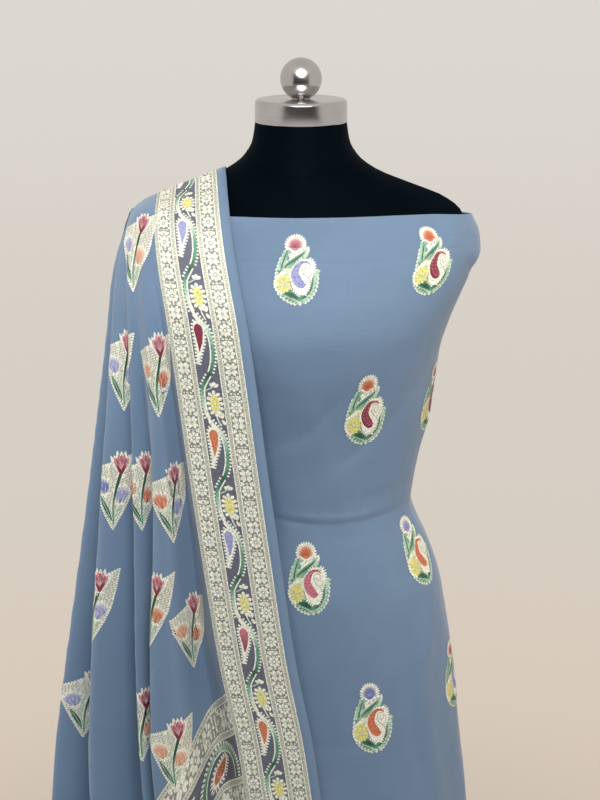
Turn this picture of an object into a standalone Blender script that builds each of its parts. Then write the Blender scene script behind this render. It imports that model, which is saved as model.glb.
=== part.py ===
"""A salwar kameez suit on a limbless dress form: the uncut kameez length wrapped round the form, a
salwar below it, and a dupatta over one shoulder.

Metres, +Z up, the form faces -Y and stands on the floor at Z = 0 with its pole on the Z axis.
Every cloth is one wall of even thickness round a middle surface. A middle surface is worked out
from short tables: level sections for the form, kameez and salwar, and fold lines for the dupatta.
"""

from collections import namedtuple

import bmesh
import bpy
import numpy as np

# Driving dimensions.
SEAM_GAP = 0.0003  # between pieces that meet
KAMEEZ_WALL = 0.0012
DUPATTA_WALL = 0.0012
SALWAR_WALL = 0.0012
CUFF_WALL = 0.0022

BASE_RADIUS = 0.19
BASE_THICKNESS = 0.014
POLE_RADIUS = 0.016
COLLAR_RADIUS = 0.030
COLLAR_HEIGHT = 0.045
NECK_CAP_RADIUS = 0.0545
NECK_CAP_HEIGHT = 0.027
FINIAL_RADIUS = 0.0245

FORM_BOTTOM = 0.745
FORM_TOP = 1.521
BUST_HEIGHT = 1.285
BUST_SPREAD = 0.088  # middle of the form to the fullest point
BUST_RISE = 0.020
BUST_HALF_HEIGHT = 0.048
BUST_HALF_WIDTH = 0.050

KAMEEZ_HEM = 0.43
KAMEEZ_TOP = 1.424
TURN_DEPTH = 0.046  # the top edge of the cloth is turned under by this much
TURN_GAP = 0.0010  # between the cloth and its turned edge
LAP_ANGLE = 16.0  # degrees that each edge of the wrap passes the centre back
LAP_RISE = 0.0046  # the outer lap's middle surface over the inner one's
LAP_START, LAP_END = 0.78, 0.92  # shares of the way round between which it rises
LAP_DIP = 0.018  # how far the top edge sinks at the centre back
SIDE_DIP = 0.011  # and at the sides
DIP_START = 1.30  # height above which the cloth is drawn down by these
WAVES = 8  # soft waves of the wrap's skirt
WAVE_RISE = 0.0060  # their depth at the hem
WAVE_TOP, WAVE_FULL = 0.96, 0.51  # heights where they begin and are whole

BORDER_WIDTH = 0.092  # woven border with its selvedge, which lies flat
SHOULDER_END = 1.418  # height at which the cloth turns down over the shoulder's end
DRAPE_ROUNDNESS = 2.7
DUPATTA_REST = 0.0024  # least distance of its middle surface from the kameez's
SHOULDER_REST = 0.0024  # and from the form

SALWAR_WAIST = 1.035
WAIST_GAP = 0.0006  # between the waistband and the form
SEAT_EASE = 0.0035  # between the seat's middle surface and the form's hips
WAISTBAND_HEIGHT = 0.030
CROTCH_HEIGHT = 0.66
CUFF_TOP = 0.165
SALWAR_HEM = 0.10

# Level sections. half_width is along X; front and back are depths from the pole's axis; roundness
# is the exponent of the outline: 2 is an ellipse, less is pointed at the sides, more is boxy.
Section = namedtuple("Section", "height half_width front back roundness")
FORM_SECTIONS = (
    Section(FORM_BOTTOM, 0.168, 0.105, 0.112, 2.2),
    Section(0.760, 0.174, 0.110, 0.118, 2.2),
    Section(0.840, 0.177, 0.112, 0.122, 2.2),
    Section(0.930, 0.165, 0.106, 0.115, 2.2),
    Section(1.000, 0.143, 0.098, 0.100, 2.1),
    Section(1.066, 0.129, 0.092, 0.087, 2.1),
    Section(1.150, 0.138, 0.098, 0.092, 2.2),
    Section(1.220, 0.148, 0.108, 0.098, 2.3),
    Section(1.270, 0.158, 0.114, 0.100, 2.4),
    Section(1.310, 0.184, 0.115, 0.098, 2.4),
    Section(1.345, 0.195, 0.110, 0.094, 2.4),
    Section(1.380, 0.198, 0.103, 0.088, 2.2),
    Section(1.400, 0.197, 0.098, 0.084, 1.9),
    Section(1.417, 0.191, 0.091, 0.080, 1.5),
    Section(1.434, 0.170, 0.083, 0.074, 1.25),
    Section(1.450, 0.130, 0.075, 0.067, 1.25),
    Section(1.466, 0.090, 0.068, 0.060, 1.5),
    Section(1.482, 0.068, 0.062, 0.056, 1.9),
    Section(1.500, 0.0575, 0.0575, 0.0550, 2.0),
    Section(FORM_TOP, 0.0540, 0.0540, 0.0540, 2.0),
)
FORM_COLUMNS = 32
FORM_RING_HEIGHTS = (0.80, 0.885, 0.965, 1.033, 1.108, 1.185, 1.245, 1.29)  # besides the sections'

# The wrap, by its right and left half widths: the dupatta presses the left side flat.
WrapSection = namedtuple("WrapSection", "height right left front back roundness")
KAMEEZ_SECTIONS = (
    WrapSection(KAMEEZ_HEM, 0.232, 0.228, 0.128, 0.138, 2.2),
    WrapSection(0.550, 0.221, 0.218, 0.124, 0.136, 2.2),
    WrapSection(0.650, 0.213, 0.210, 0.121, 0.134, 2.2),
    WrapSection(0.760, 0.202, 0.200, 0.119, 0.131, 2.2),
    WrapSection(0.850, 0.193, 0.192, 0.119, 0.130, 2.2),
    WrapSection(0.940, 0.178, 0.178, 0.116, 0.125, 2.2),
    WrapSection(1.000, 0.160, 0.160, 0.110, 0.113, 2.1),
    WrapSection(1.030, 0.146, 0.147, 0.106, 0.105, 2.1),
    WrapSection(1.054, 0.138, 0.140, 0.104, 0.098, 2.1),
    WrapSection(1.110, 0.145, 0.145, 0.109, 0.100, 2.1),
    WrapSection(1.160, 0.157, 0.150, 0.117, 0.103, 2.0),
    WrapSection(1.210, 0.164, 0.156, 0.129, 0.107, 2.0),
    WrapSection(1.250, 0.169, 0.164, 0.139, 0.110, 2.1),
    WrapSection(1.285, 0.178, 0.175, 0.143, 0.110, 2.2),
    WrapSection(1.320, 0.191, 0.189, 0.136, 0.107, 2.3),
    WrapSection(1.350, 0.204, 0.200, 0.124, 0.103, 2.3),
    WrapSection(1.380, 0.215, 0.2030, 0.112, 0.097, 2.2),
    WrapSection(1.402, 0.213, 0.2025, 0.104, 0.092, 2.05),
    WrapSection(KAMEEZ_TOP, 0.204, 0.1975, 0.097, 0.087, 1.8),
)
KAMEEZ_ROW_HEIGHTS = (
    *(KAMEEZ_HEM, 0.52, 0.61, 0.70, 0.79, 0.87, 0.94, 0.99, 1.025, 1.05, 1.09),
    *(1.14, 1.20, 1.25, 1.29, 1.325, 1.355, 1.378, 1.401),
)
KAMEEZ_COLUMNS = 50

# The dupatta's inner edge and the base line that its folds stand on, on the front and the back.
Fall = namedtuple("Fall", "height inner_edge depth")
FRONT_FALLS = (
    Fall(0.300, 0.080, 0.150),
    Fall(0.711, 0.025, 0.152),
    Fall(0.784, 0.015, 0.152),
    Fall(0.897, -0.006, 0.152),
    Fall(1.028, -0.024, 0.152),
    Fall(1.128, -0.037, 0.152),
    Fall(1.266, -0.054, 0.150),
    Fall(1.314, -0.061, 0.144),
    Fall(1.345, -0.067, 0.134),
    Fall(1.380, -0.074, 0.118),
    Fall(1.415, -0.080, 0.104),
)
BACK_FALLS = (
    Fall(0.100, -0.020, 0.160),
    Fall(0.700, -0.040, 0.156),
    Fall(0.900, -0.047, 0.148),
    Fall(1.100, -0.055, 0.134),
    Fall(1.250, -0.062, 0.125),
    Fall(1.340, -0.070, 0.116),
    Fall(1.380, -0.076, 0.106),
    Fall(1.415, -0.081, 0.097),
)

# The ridge of the sheet on the shoulder, by the cloth's own width.
RidgePoint = namedtuple("RidgePoint", "cloth side height")
SHOULDER_LINE = (
    RidgePoint(0.000, -0.090, 1.4690),
    RidgePoint(0.046, -0.131, 1.4525),
    RidgePoint(0.092, -0.170, 1.4375),
    RidgePoint(0.115, -0.188, 1.4285),
    RidgePoint(0.132, -0.1985, SHOULDER_END),
)
Outline = namedtuple("Outline", "height side")
SIDE_OUTLINE = (
    Outline(0.150, 0.390),
    Outline(0.620, 0.322),
    Outline(0.770, 0.301),
    Outline(0.926, 0.277),
    Outline(1.064, 0.257),
    Outline(1.190, 0.241),
    Outline(1.274, 0.231),
    Outline(1.339, 0.2245),
    Outline(1.371, 0.218),
    Outline(1.399, 0.207),
    Outline(SHOULDER_END, 0.1985),
)

# Fold lines of the front from the border to the side, as shares of the base line there, at chest
# and hem level. out is how far the fold stands off the base line at the hem.
Fold = namedtuple("Fold", "name along_chest along_hem out")
FRONT_FOLDS = (
    Fold("border_end", 0.000, 0.000, 0.000),
    Fold("deep_valley", 0.060, 0.110, -0.034),
    Fold("panel_roll", 0.120, 0.240, 0.006),
    Fold("panel_lip", 0.170, 0.350, 0.008),
    Fold("lip_turn", 0.200, 0.358, -0.006),
    Fold("under_lip", 0.230, 0.280, -0.018),
    Fold("tuck", 0.260, 0.268, -0.029),
    Fold("second_rise", 0.290, 0.345, -0.031),
    Fold("second_roll", 0.350, 0.420, -0.006),
    Fold("second_valley", 0.430, 0.480, -0.038),
    Fold("outer_roll", 0.580, 0.620, 0.010),
    Fold("side_valley", 0.710, 0.770, -0.044),
    Fold("side_roll", 0.820, 0.860, 0.014),
    Fold("last_valley", 0.910, 0.940, -0.044),
    Fold("side_middle", 1.000, 1.000, 0.000),
)
BACK_FOLDS = 7
BACK_FOLD_OUT = 0.014
BACK_FOLD_IN = 0.044
CHEST_LEVEL, HEM_LEVEL = 1.28, 0.70
# How deep the folds are at a height, as a share of their depth at the hem.
FoldGrowth = namedtuple("FoldGrowth", "height front back")
FOLD_GROWTH = (
    FoldGrowth(0.200, 1.20, 1.25),
    FoldGrowth(0.700, 1.05, 1.10),
    FoldGrowth(0.850, 0.92, 1.00),
    FoldGrowth(1.000, 0.74, 0.86),
    FoldGrowth(1.150, 0.48, 0.66),
    FoldGrowth(1.280, 0.22, 0.36),
    FoldGrowth(1.370, 0.06, 0.08),
    FoldGrowth(SHOULDER_END, 0.00, 0.00),
)

# The side is closed from the shoulder's end down to the split. Below it the front and the back
# hang apart, and at the hem each reaches this share of the way from the border to the middle.
SIDE_SPLIT = 0.765
FRONT_OUTER_EDGE = 0.90
BACK_OUTER_EDGE = 0.88
# Height of the front and back hems, by the share of the base line.
Hem = namedtuple("Hem", "share front back")
DUPATTA_HEMS = (
    Hem(0.00, 0.668, 0.330),
    Hem(0.50, 0.655, 0.290),
    Hem(0.54, 0.630, 0.280),
    Hem(0.57, 0.578, 0.272),
    Hem(0.61, 0.520, 0.260),
    Hem(0.75, 0.450, 0.220),
    Hem(1.00, 0.370, 0.150),
)
LEVEL_ROWS = (1.4, 1.375, 1.345, 1.31, 1.265, 1.21, 1.14, 1.06, 0.98, 0.90, 0.83, SIDE_SPLIT)
FRONT_FLAP_ROWS = 4
BACK_FLAP_ROWS = 7
RIDGE_ROWS = (0.0, 0.16, 0.36, 0.64, 0.86)  # shares of the way from the ridge to the front or back

Leg = namedtuple("Leg", "height centre half_width depth folds")
LEG_SECTIONS = (
    Leg(SALWAR_HEM, 0.094, 0.052, 0.056, 0.0015),
    Leg(CUFF_TOP, 0.094, 0.054, 0.058, 0.0020),
    Leg(0.230, 0.095, 0.062, 0.066, 0.0050),
    Leg(0.340, 0.097, 0.071, 0.077, 0.0060),
    Leg(0.500, 0.099, 0.077, 0.086, 0.0050),
    Leg(CROTCH_HEIGHT, 0.098, 0.079, 0.094, 0.0020),
)
LEG_FOLDS = 7
COLOURS = {
    "cloth": ((0.150, 0.225, 0.330, 1.0), 0.62, 0.0),
    "salwar_cloth": ((0.150, 0.225, 0.330, 1.0), 0.70, 0.0),
    "form_cover": ((0.012, 0.012, 0.015, 1.0), 0.80, 0.0),
    "steel": ((0.62, 0.60, 0.58, 1.0), 0.22, 1.0),
}


def clear_scene():
    for existing in list(bpy.data.objects):
        bpy.data.objects.remove(existing)


def material(name):
    found = bpy.data.materials.get(name)
    if found:
        return found
    colour, roughness, metallic = COLOURS[name]
    made = bpy.data.materials.new(name)
    made.use_nodes = True
    shader = made.node_tree.nodes["Principled BSDF"]
    shader.inputs["Base Color"].default_value = colour
    shader.inputs["Roughness"].default_value = roughness
    shader.inputs["Metallic"].default_value = metallic
    return made


def spline(known_at, known):
    """A smooth curve through points, flat beyond its ends, which doesn't overshoot a rise or fall."""
    known_at, known = np.asarray(known_at, float), np.asarray(known, float)
    steps = np.diff(known_at)
    slopes = np.diff(known) / steps
    tangents = np.zeros(len(known))
    same_way = slopes[:-1] * slopes[1:] > 0
    steepness = np.where(same_way, slopes[:-1] + slopes[1:], 1.0)
    tangents[1:-1] = np.where(same_way, 2 * slopes[:-1] * slopes[1:] / steepness, 0.0)
    tangents[0], tangents[-1] = slopes[0], slopes[-1]

    def value(at):
        at = np.clip(np.asarray(at, float), known_at[0], known_at[-1])
        i = np.clip(np.searchsorted(known_at, at) - 1, 0, len(steps) - 1)
        t = (at - known_at[i]) / steps[i]
        return (
            known[i] * (1 + 2 * t) * (1 - t) ** 2
            + steps[i] * tangents[i] * t * (1 - t) ** 2
            + known[i + 1] * t * t * (3 - 2 * t)
            - steps[i] * tangents[i + 1] * t * t * (1 - t)
        )

    return value


def table_curve(rows, key, column):
    return spline([getattr(row, key) for row in rows], [getattr(row, column) for row in rows])


def rounded_spline(known_at, known, at):
    """A smooth curve through points that turns round at its peaks, for the outline of folds."""
    tangents = np.gradient(known, known_at)
    i = np.clip(np.searchsorted(known_at, at) - 1, 0, len(known_at) - 2)
    step = known_at[i + 1] - known_at[i]
    t = (at - known_at[i]) / step
    return (
        known[i] * (1 + 2 * t) * (1 - t) ** 2
        + step * tangents[i] * t * (1 - t) ** 2
        + known[i + 1] * t * t * (3 - 2 * t)
        - step * tangents[i + 1] * t * t * (1 - t)
    )


def ease(t):
    t = np.clip(t, 0.0, 1.0)
    return t * t * (3 - 2 * t)


def outline_point(angle, half_width, front, back, roundness):
    """A point of a level section. Angle 0 is +X and a quarter turn is the centre back."""
    across, along = np.cos(angle), np.sin(angle)
    depth = np.where(along < 0, front, back)
    power = 2 / roundness
    x = half_width * np.sign(across) * np.abs(across) ** power
    y = depth * np.sign(along) * np.abs(along) ** power
    return x, y


# Closed solids from grids of points.


def add_object(name, points, faces, material_name):
    mesh = bpy.data.meshes.new(name)
    mesh.from_pydata([tuple(p) for p in points], [], faces)
    mesh.validate()
    made = bpy.data.objects.new(name, mesh)
    bpy.context.scene.collection.objects.link(made)
    mesh.materials.append(material(material_name))
    mesh.shade_smooth()
    mesh.set_sharp_from_angle(angle=np.radians(50))
    return made


def grid_faces(rows, columns, first, wraps):
    """Quads of a grid, facing right of the way its rows run, seen with its columns going up."""
    faces = []
    for r in range(rows - 1):
        for c in range(columns if wraps else columns - 1):
            d = (c + 1) % columns
            low, high = first + r * columns, first + (r + 1) * columns
            faces.append((low + c, low + d, high + d, high + c))
    return faces


def cloth_wall(name, grids, thickness, material_name, wraps=False, twisted=False):
    """A closed wall of even thickness round a middle surface, which is one or more grids joined
    where their points meet. Both sides of a twisted one share its triangles, so that they don't
    cross where a quad is far from flat."""
    surface = bmesh.new()
    for grid in grids:
        verts = [surface.verts.new(p) for p in grid.reshape(-1, 3)]
        for face in grid_faces(grid.shape[0], grid.shape[1], 0, wraps):
            surface.faces.new([verts[i] for i in face])
    bmesh.ops.remove_doubles(surface, verts=surface.verts, dist=1e-6)
    bmesh.ops.recalc_face_normals(surface, faces=surface.faces)
    if twisted:
        bmesh.ops.triangulate(surface, faces=surface.faces, quad_method="BEAUTY")
    surface.normal_update()
    surface.verts.index_update()
    count = len(surface.verts)
    points = [v.co + v.normal * thickness / 2 for v in surface.verts]
    points += [v.co - v.normal * thickness / 2 for v in surface.verts]
    faces = []
    for face in surface.faces:
        corners = [v.index for v in face.verts]
        faces.append(corners)
        faces.append([i + count for i in reversed(corners)])
    for edge in surface.edges:
        if edge.is_boundary:
            loop = edge.link_loops[0]
            start, end = loop.vert.index, loop.link_loop_next.vert.index
            faces.append((end, start, start + count, end + count))
    surface.free()
    return add_object(name, points, faces, material_name)


def lofted_solid(name, grid, material_name):
    """A closed solid through level rings, with a fan at each end."""
    rows, columns = grid.shape[:2]
    ends = [grid[0].mean(axis=0), grid[-1].mean(axis=0)]
    points = np.concatenate([grid.reshape(-1, 3), ends])
    faces = grid_faces(rows, columns, 0, True)
    bottom, top, last = rows * columns, rows * columns + 1, (rows - 1) * columns
    for c in range(columns):
        d = (c + 1) % columns
        faces.append((bottom, d, c))
        faces.append((top, last + c, last + d))
    return add_object(name, points, faces, material_name)


def turned_solid(name, profile, material_name, segments=32):
    """A solid turned round the Z axis. The profile is (radius, height) from the bottom axis up."""
    angles = np.linspace(0, 2 * np.pi, segments, endpoint=False)
    rings = [
        np.stack([r * np.cos(angles), r * np.sin(angles), np.full(segments, z)], axis=1)
        for r, z in profile
    ]
    return lofted_solid(name, np.stack(rings), material_name)


# The dress form and its stand.


def form_shape(height):
    """Half width, front, back and roundness of the form at a height."""
    columns = ("half_width", "front", "back", "roundness")
    return [table_curve(FORM_SECTIONS, "height", c)(height) for c in columns]


def form_torso():
    angles = np.linspace(0, 2 * np.pi, FORM_COLUMNS, endpoint=False)
    rings = []
    for height in sorted(FORM_RING_HEIGHTS + tuple(s.height for s in FORM_SECTIONS)):
        half_width, front, back, roundness = form_shape(height)
        x, y = outline_point(angles, half_width, front, back, roundness)
        rise = BUST_RISE * np.exp(-(((height - BUST_HEIGHT) / BUST_HALF_HEIGHT) ** 2))
        across = np.exp(-(((np.abs(x) - BUST_SPREAD) / BUST_HALF_WIDTH) ** 2))
        y = y - rise * across * ease(-y / BUST_HALF_WIDTH)
        rings.append(np.stack([x, y, np.full_like(x, height)], axis=1))
    return lofted_solid("form_torso", np.stack(rings), "form_cover")


def form_top_height(x, y):
    """Height of the form's shoulders over a point, for the dupatta to lie on."""
    heights = np.linspace(1.30, 1.50, 401)
    half_width, front, back, roundness = form_shape(heights)
    x, y = np.abs(np.asarray(x))[..., None], np.asarray(y)[..., None]
    depth = np.where(y < 0, front, back)
    reach = (x / half_width) ** roundness + (np.abs(y) / depth) ** roundness
    inside = reach <= 1
    top = heights[0] + (heights[-1] - heights[0]) / (len(heights) - 1) * inside.sum(axis=-1)
    return np.where(inside.any(axis=-1), top, heights[0])


def stand():
    foot_edge = 0.004
    turned_solid(
        "stand_base",
        (
            (0.060, 0.0),
            (BASE_RADIUS - 0.002, 0.0),
            (BASE_RADIUS, 0.002),
            (BASE_RADIUS, BASE_THICKNESS - foot_edge),
            (BASE_RADIUS - foot_edge, BASE_THICKNESS),
            (COLLAR_RADIUS, BASE_THICKNESS),
        ),
        "steel",
        48,
    )
    collar_bottom = BASE_THICKNESS + SEAM_GAP
    collar_top = collar_bottom + COLLAR_HEIGHT
    turned_solid(
        "stand_collar",
        (
            (COLLAR_RADIUS, collar_bottom),
            (COLLAR_RADIUS, collar_top - 0.006),
            (COLLAR_RADIUS - 0.006, collar_top),
        ),
        "steel",
    )
    turned_solid(
        "stand_pole",
        (
            (POLE_RADIUS, collar_top + SEAM_GAP),
            (POLE_RADIUS, FORM_BOTTOM - SEAM_GAP),
        ),
        "steel",
        24,
    )


def neck_cap_and_finial():
    bottom = FORM_TOP + SEAM_GAP
    top = bottom + NECK_CAP_HEIGHT
    turned_solid(
        "neck_cap",
        (
            (NECK_CAP_RADIUS - 0.001, bottom),
            (NECK_CAP_RADIUS, bottom + 0.0015),
            (NECK_CAP_RADIUS - 0.001, top - 0.002),
            (NECK_CAP_RADIUS - 0.003, top - 0.0004),
            (NECK_CAP_RADIUS - 0.006, top),
        ),
        "steel",
        36,
    )
    seat = top + SEAM_GAP
    foot_radius = 0.011
    foot_height = 0.0025
    centre = seat + foot_height + np.sqrt(FINIAL_RADIUS**2 - foot_radius**2)
    start = -np.arccos(foot_radius / FINIAL_RADIUS)
    profile = [(foot_radius, seat)]
    for angle in np.linspace(start, np.radians(84), 10):
        profile.append((FINIAL_RADIUS * np.cos(angle), centre + FINIAL_RADIUS * np.sin(angle)))
    turned_solid("finial_ball", profile, "steel", 24)


# The kameez: one uncut length, wrapped from the centre back round the front and lapped.


def kameez_shape(height):
    columns = ("right", "left", "front", "back", "roundness")
    return [table_curve(KAMEEZ_SECTIONS, "height", c)(height) for c in columns]


def wave_depth(height):
    return WAVE_RISE * ease((WAVE_TOP - height) / (WAVE_TOP - WAVE_FULL))


def kameez_point(turn, height, inset=0.0):
    """A point of the wrap's middle surface. Turn runs from the inner edge at the centre back,
    round the left side, the front and the right side, to the outer edge over it."""
    right, left, front, back, roundness = kameez_shape(height)
    angle = np.radians(90 - LAP_ANGLE) + turn * np.radians(360 + 2 * LAP_ANGLE)
    half_width = np.where(np.cos(angle) > 0, right, left)
    x, y = outline_point(angle, half_width, front, back, roundness)
    outward = np.stack([x / half_width**2, y / np.where(y < 0, front, back) ** 2], axis=-1)
    outward = outward / np.linalg.norm(outward, axis=-1, keepdims=True)
    lap = LAP_RISE * ease((turn - LAP_START) / (LAP_END - LAP_START))
    # The front hangs smooth; the waves are at the sides and the back.
    aside = np.minimum(np.abs(np.cos(angle)) ** 1.5 + 0.9 * np.clip(np.sin(angle), 0, 1), 1)
    waves = wave_depth(height) * aside * np.sin(WAVES * angle + 1.1 + 1.5 * height)
    off = lap + waves - inset
    dip = LAP_DIP * np.clip(y / back, 0, 1) + SIDE_DIP * np.abs(np.cos(angle)) ** 6
    dip = dip * ease((height - DIP_START) / (KAMEEZ_TOP - DIP_START))
    return np.stack([x + outward[..., 0] * off, y + outward[..., 1] * off, height - dip], axis=-1)


def kameez():
    """The wall goes up the outside, turns over at the top edge and comes down inside it."""
    half_turn = (KAMEEZ_WALL + TURN_GAP) / 2
    rows = [(height, 0.0) for height in KAMEEZ_ROW_HEIGHTS]
    for angle in np.radians((0, 60, 120, 180)):
        height = KAMEEZ_TOP - half_turn * (1 - np.sin(angle))
        rows.append((height, half_turn * (1 - np.cos(angle))))
    for share in (0.5, 1.0):
        rows.append((KAMEEZ_TOP - share * TURN_DEPTH, 2 * half_turn))
    turns = np.linspace(0, 1, KAMEEZ_COLUMNS)
    wall = np.stack([kameez_point(turns, height + 0 * turns, inset) for height, inset in rows])
    cloth_wall("kameez", [wall], KAMEEZ_WALL, "cloth")


# The salwar: a yoke and seat over the hips, two gathered legs and their cuffs.


def salwar_ring(height, ease_out):
    """A level ring round the form's hips, kept at the form's own bottom width below it."""
    half_width, front, back, roundness = form_shape(max(height, FORM_BOTTOM + 0.02))
    angles = np.linspace(0, 2 * np.pi, FORM_COLUMNS, endpoint=False)
    x, y = outline_point(angles, half_width + ease_out, front + ease_out, back + ease_out, roundness)
    return np.stack([x, y, np.full_like(x, height)], axis=1)


def salwar_waistband():
    clear = WAIST_GAP + CUFF_WALL / 2
    bottom = SALWAR_WAIST - WAISTBAND_HEIGHT + SEAM_GAP
    rings = [salwar_ring(height, clear) for height in (bottom, bottom + 0.015, SALWAR_WAIST)]
    cloth_wall("salwar_waistband", [np.stack(rings)], CUFF_WALL, "salwar_cloth", wraps=True)


def salwar_seat():
    rings = []
    top = SALWAR_WAIST - WAISTBAND_HEIGHT
    for height in (CROTCH_HEIGHT + SEAM_GAP, 0.695, 0.735, 0.80, 0.87, 0.93, 0.97, top):
        close = float(ease((height - 0.93) / (top - 0.93)))
        ring = salwar_ring(height, SEAT_EASE + close * (WAIST_GAP + CUFF_WALL / 2 - SEAT_EASE))
        # Below the form the middle of the seat draws in towards the crotch.
        low = ease((0.735 - height) / 0.075)
        pinch = 0.5 * low * np.exp(-((ring[:, 0] / 0.032) ** 2))
        ring[:, 1] *= (1 - pinch) * (1 - 0.17 * low)
        rings.append(ring)
    seat = [np.stack(rings)]
    cloth_wall("salwar_seat", seat, SALWAR_WALL, "salwar_cloth", wraps=True, twisted=True)


def leg_rings(side, heights, columns):
    angles = np.linspace(0, 2 * np.pi, columns, endpoint=False)
    rings = []
    for height in heights:
        shape = [
            table_curve(LEG_SECTIONS, "height", c)(height)
            for c in ("centre", "half_width", "depth", "folds")
        ]
        centre, half_width, depth, folds = shape
        wave = 1 + folds / depth * np.sin(LEG_FOLDS * angles + 2.0 * height)
        x = side * (centre + half_width * wave * np.cos(angles))
        y = depth * wave * np.sin(angles)
        rings.append(np.stack([x, y, np.full_like(x, height)], axis=1)[:: int(side)])
    return np.stack(rings)


def salwar_leg(side, label):
    heights = [CUFF_TOP + SEAM_GAP, 0.20, 0.26, 0.34, 0.44, 0.55, CROTCH_HEIGHT - SEAM_GAP]
    rings = leg_rings(side, heights, 28)
    cloth_wall(f"salwar_leg_{label}", [rings], SALWAR_WALL, "salwar_cloth", wraps=True)
    cuff = leg_rings(side, [SALWAR_HEM, SALWAR_HEM + 0.03, CUFF_TOP], 28)
    cloth_wall(f"salwar_cuff_{label}", [cuff], CUFF_WALL, "salwar_cloth", wraps=True)


# The dupatta: one sheet over the left shoulder.


def clear_of_kameez(x, y, height):
    """Moves points out from the pole's axis until they clear the wrap under them."""
    right, left, front, back, roundness = kameez_shape(height)
    clear = DUPATTA_REST + wave_depth(height)
    half_width = np.where(x > 0, right, left) + clear
    depth = np.where(y < 0, front, back + LAP_RISE) + clear
    reach = (np.abs(x) / half_width) ** roundness + (np.abs(y) / depth) ** roundness
    push = np.where(height < KAMEEZ_TOP, np.maximum(1.0, reach ** (-1 / roundness)), 1.0)
    return x * push, y * push


def base_line(height, falls, sign, samples=80):
    """The line that the folds of one half of a level slice stand on, from the inner edge to the
    middle of the side: distances along it and its points. sign is -1 on the front."""
    side = table_curve(SIDE_OUTLINE, "height", "side")(height)
    inner = table_curve(falls, "height", "inner_edge")(height)
    depth = table_curve(falls, "height", "depth")(height)
    turn = np.linspace(0, np.pi / 2, samples)
    x = inner - (side + inner) * np.sin(turn) ** (2 / DRAPE_ROUNDNESS)
    y = sign * depth * np.cos(turn) ** (2 / DRAPE_ROUNDNESS)
    at = np.concatenate([[0], np.cumsum(np.hypot(np.diff(x), np.diff(y)))])
    even = np.linspace(0, at[-1], samples)
    return even, np.interp(even, at, x), np.interp(even, at, y)


def front_nodes(height):
    """Fold nodes as shares of the base line beyond the border, and distances out of it."""
    low = ease((CHEST_LEVEL - height) / (CHEST_LEVEL - HEM_LEVEL))
    along = [f.along_chest + low * (f.along_hem - f.along_chest) for f in FRONT_FOLDS]
    return np.array(along), np.array([f.out for f in FRONT_FOLDS])


def back_nodes(height):
    """Uneven waves, in twice as many nodes as folds."""
    low = ease((CHEST_LEVEL - height) / (CHEST_LEVEL - HEM_LEVEL))
    index = np.arange(2 * BACK_FOLDS + 1)
    inner = (index > 0) & (index < index[-1])
    along = (index + inner * 0.25 * low * np.sin(1.7 * index)) / index[-1]
    uneven = 0.75 + 0.25 * np.sin(2.3 * index)
    out = np.where(index % 2 == 0, BACK_FOLD_OUT, -BACK_FOLD_IN) * uneven * inner
    return along, out


def drape_point(front, column, height, reach=1.0):
    """A point of a level slice. Column runs from 0 at the inner edge to 1 at the border's end and
    2 at the outer end, with the fold nodes evenly between 1 and 2. reach is how far that end goes
    on the way from the border to the middle of the side."""
    falls, sign = (FRONT_FALLS, -1) if front else (BACK_FALLS, 1)
    even, line_x, line_y = base_line(height, falls, sign)
    along, out = BORDER_WIDTH * column, 0.0
    if column > 1:
        nodes_along, nodes_out = front_nodes(height) if front else back_nodes(height)
        index = np.arange(len(nodes_along), dtype=float)
        at = (column - 1) * index[-1]
        share = rounded_spline(index, nodes_along, at)
        along = BORDER_WIDTH + reach * share * (even[-1] - BORDER_WIDTH)
        growth = table_curve(FOLD_GROWTH, "height", "front" if front else "back")(height)
        out = growth * rounded_spline(index, nodes_out, at)
    x, y = np.interp(along, even, line_x), np.interp(along, even, line_y)
    toward_x = np.interp(along, even, np.gradient(line_x, even))
    toward_y = np.interp(along, even, np.gradient(line_y, even))
    # The outward direction is to the right of the front's line and to the left of the back's.
    x, y = x + sign * out * toward_y, y - sign * out * toward_x
    return clear_of_kameez(x, y, height)


def sheet_half(front, columns):
    """One half of the sheet as a grid, from its hem up to the ridge on the shoulder."""
    hem_key, outer_edge = ("front", FRONT_OUTER_EDGE) if front else ("back", BACK_OUTER_EDGE)
    hem_height = table_curve(DUPATTA_HEMS, "share", hem_key)
    flap_rows = FRONT_FLAP_ROWS if front else BACK_FLAP_ROWS
    rows = []
    for r in range(flap_rows):
        down = 1 - r / flap_rows
        row = []
        for column in columns:
            height = SIDE_SPLIT - down * (SIDE_SPLIT - hem_height(column / 2))
            reach = 1 - (1 - outer_edge) * down
            row.append((*drape_point(front, column, height, reach), height))
        rows.append(row)
    for height in LEVEL_ROWS[::-1] + (SHOULDER_END,):
        rows.append([(*drape_point(front, column, height), height) for column in columns])
    edge = np.array(rows[-1], dtype=float)
    ridge_x = table_curve(SHOULDER_LINE, "cloth", "side")
    ridge_z = table_curve(SHOULDER_LINE, "cloth", "height")
    end = SHOULDER_LINE[-1].cloth
    cloth = np.interp(columns, (0, 1, 2), (0, BORDER_WIDTH, end))
    for share in RIDGE_ROWS[::-1]:
        x = edge[:, 0] * share + ridge_x(cloth) * (1 - share)
        y = edge[:, 1] * share
        z = SHOULDER_END + (ridge_z(cloth) - SHOULDER_END) * (1 - share**1.25)
        z = np.maximum(z, form_top_height(x, y) + SHOULDER_REST)
        z[-1] = SHOULDER_END
        rows.append(np.stack([x, y, z], axis=1))
    return np.array([np.array(row, dtype=float) for row in rows])


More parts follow.
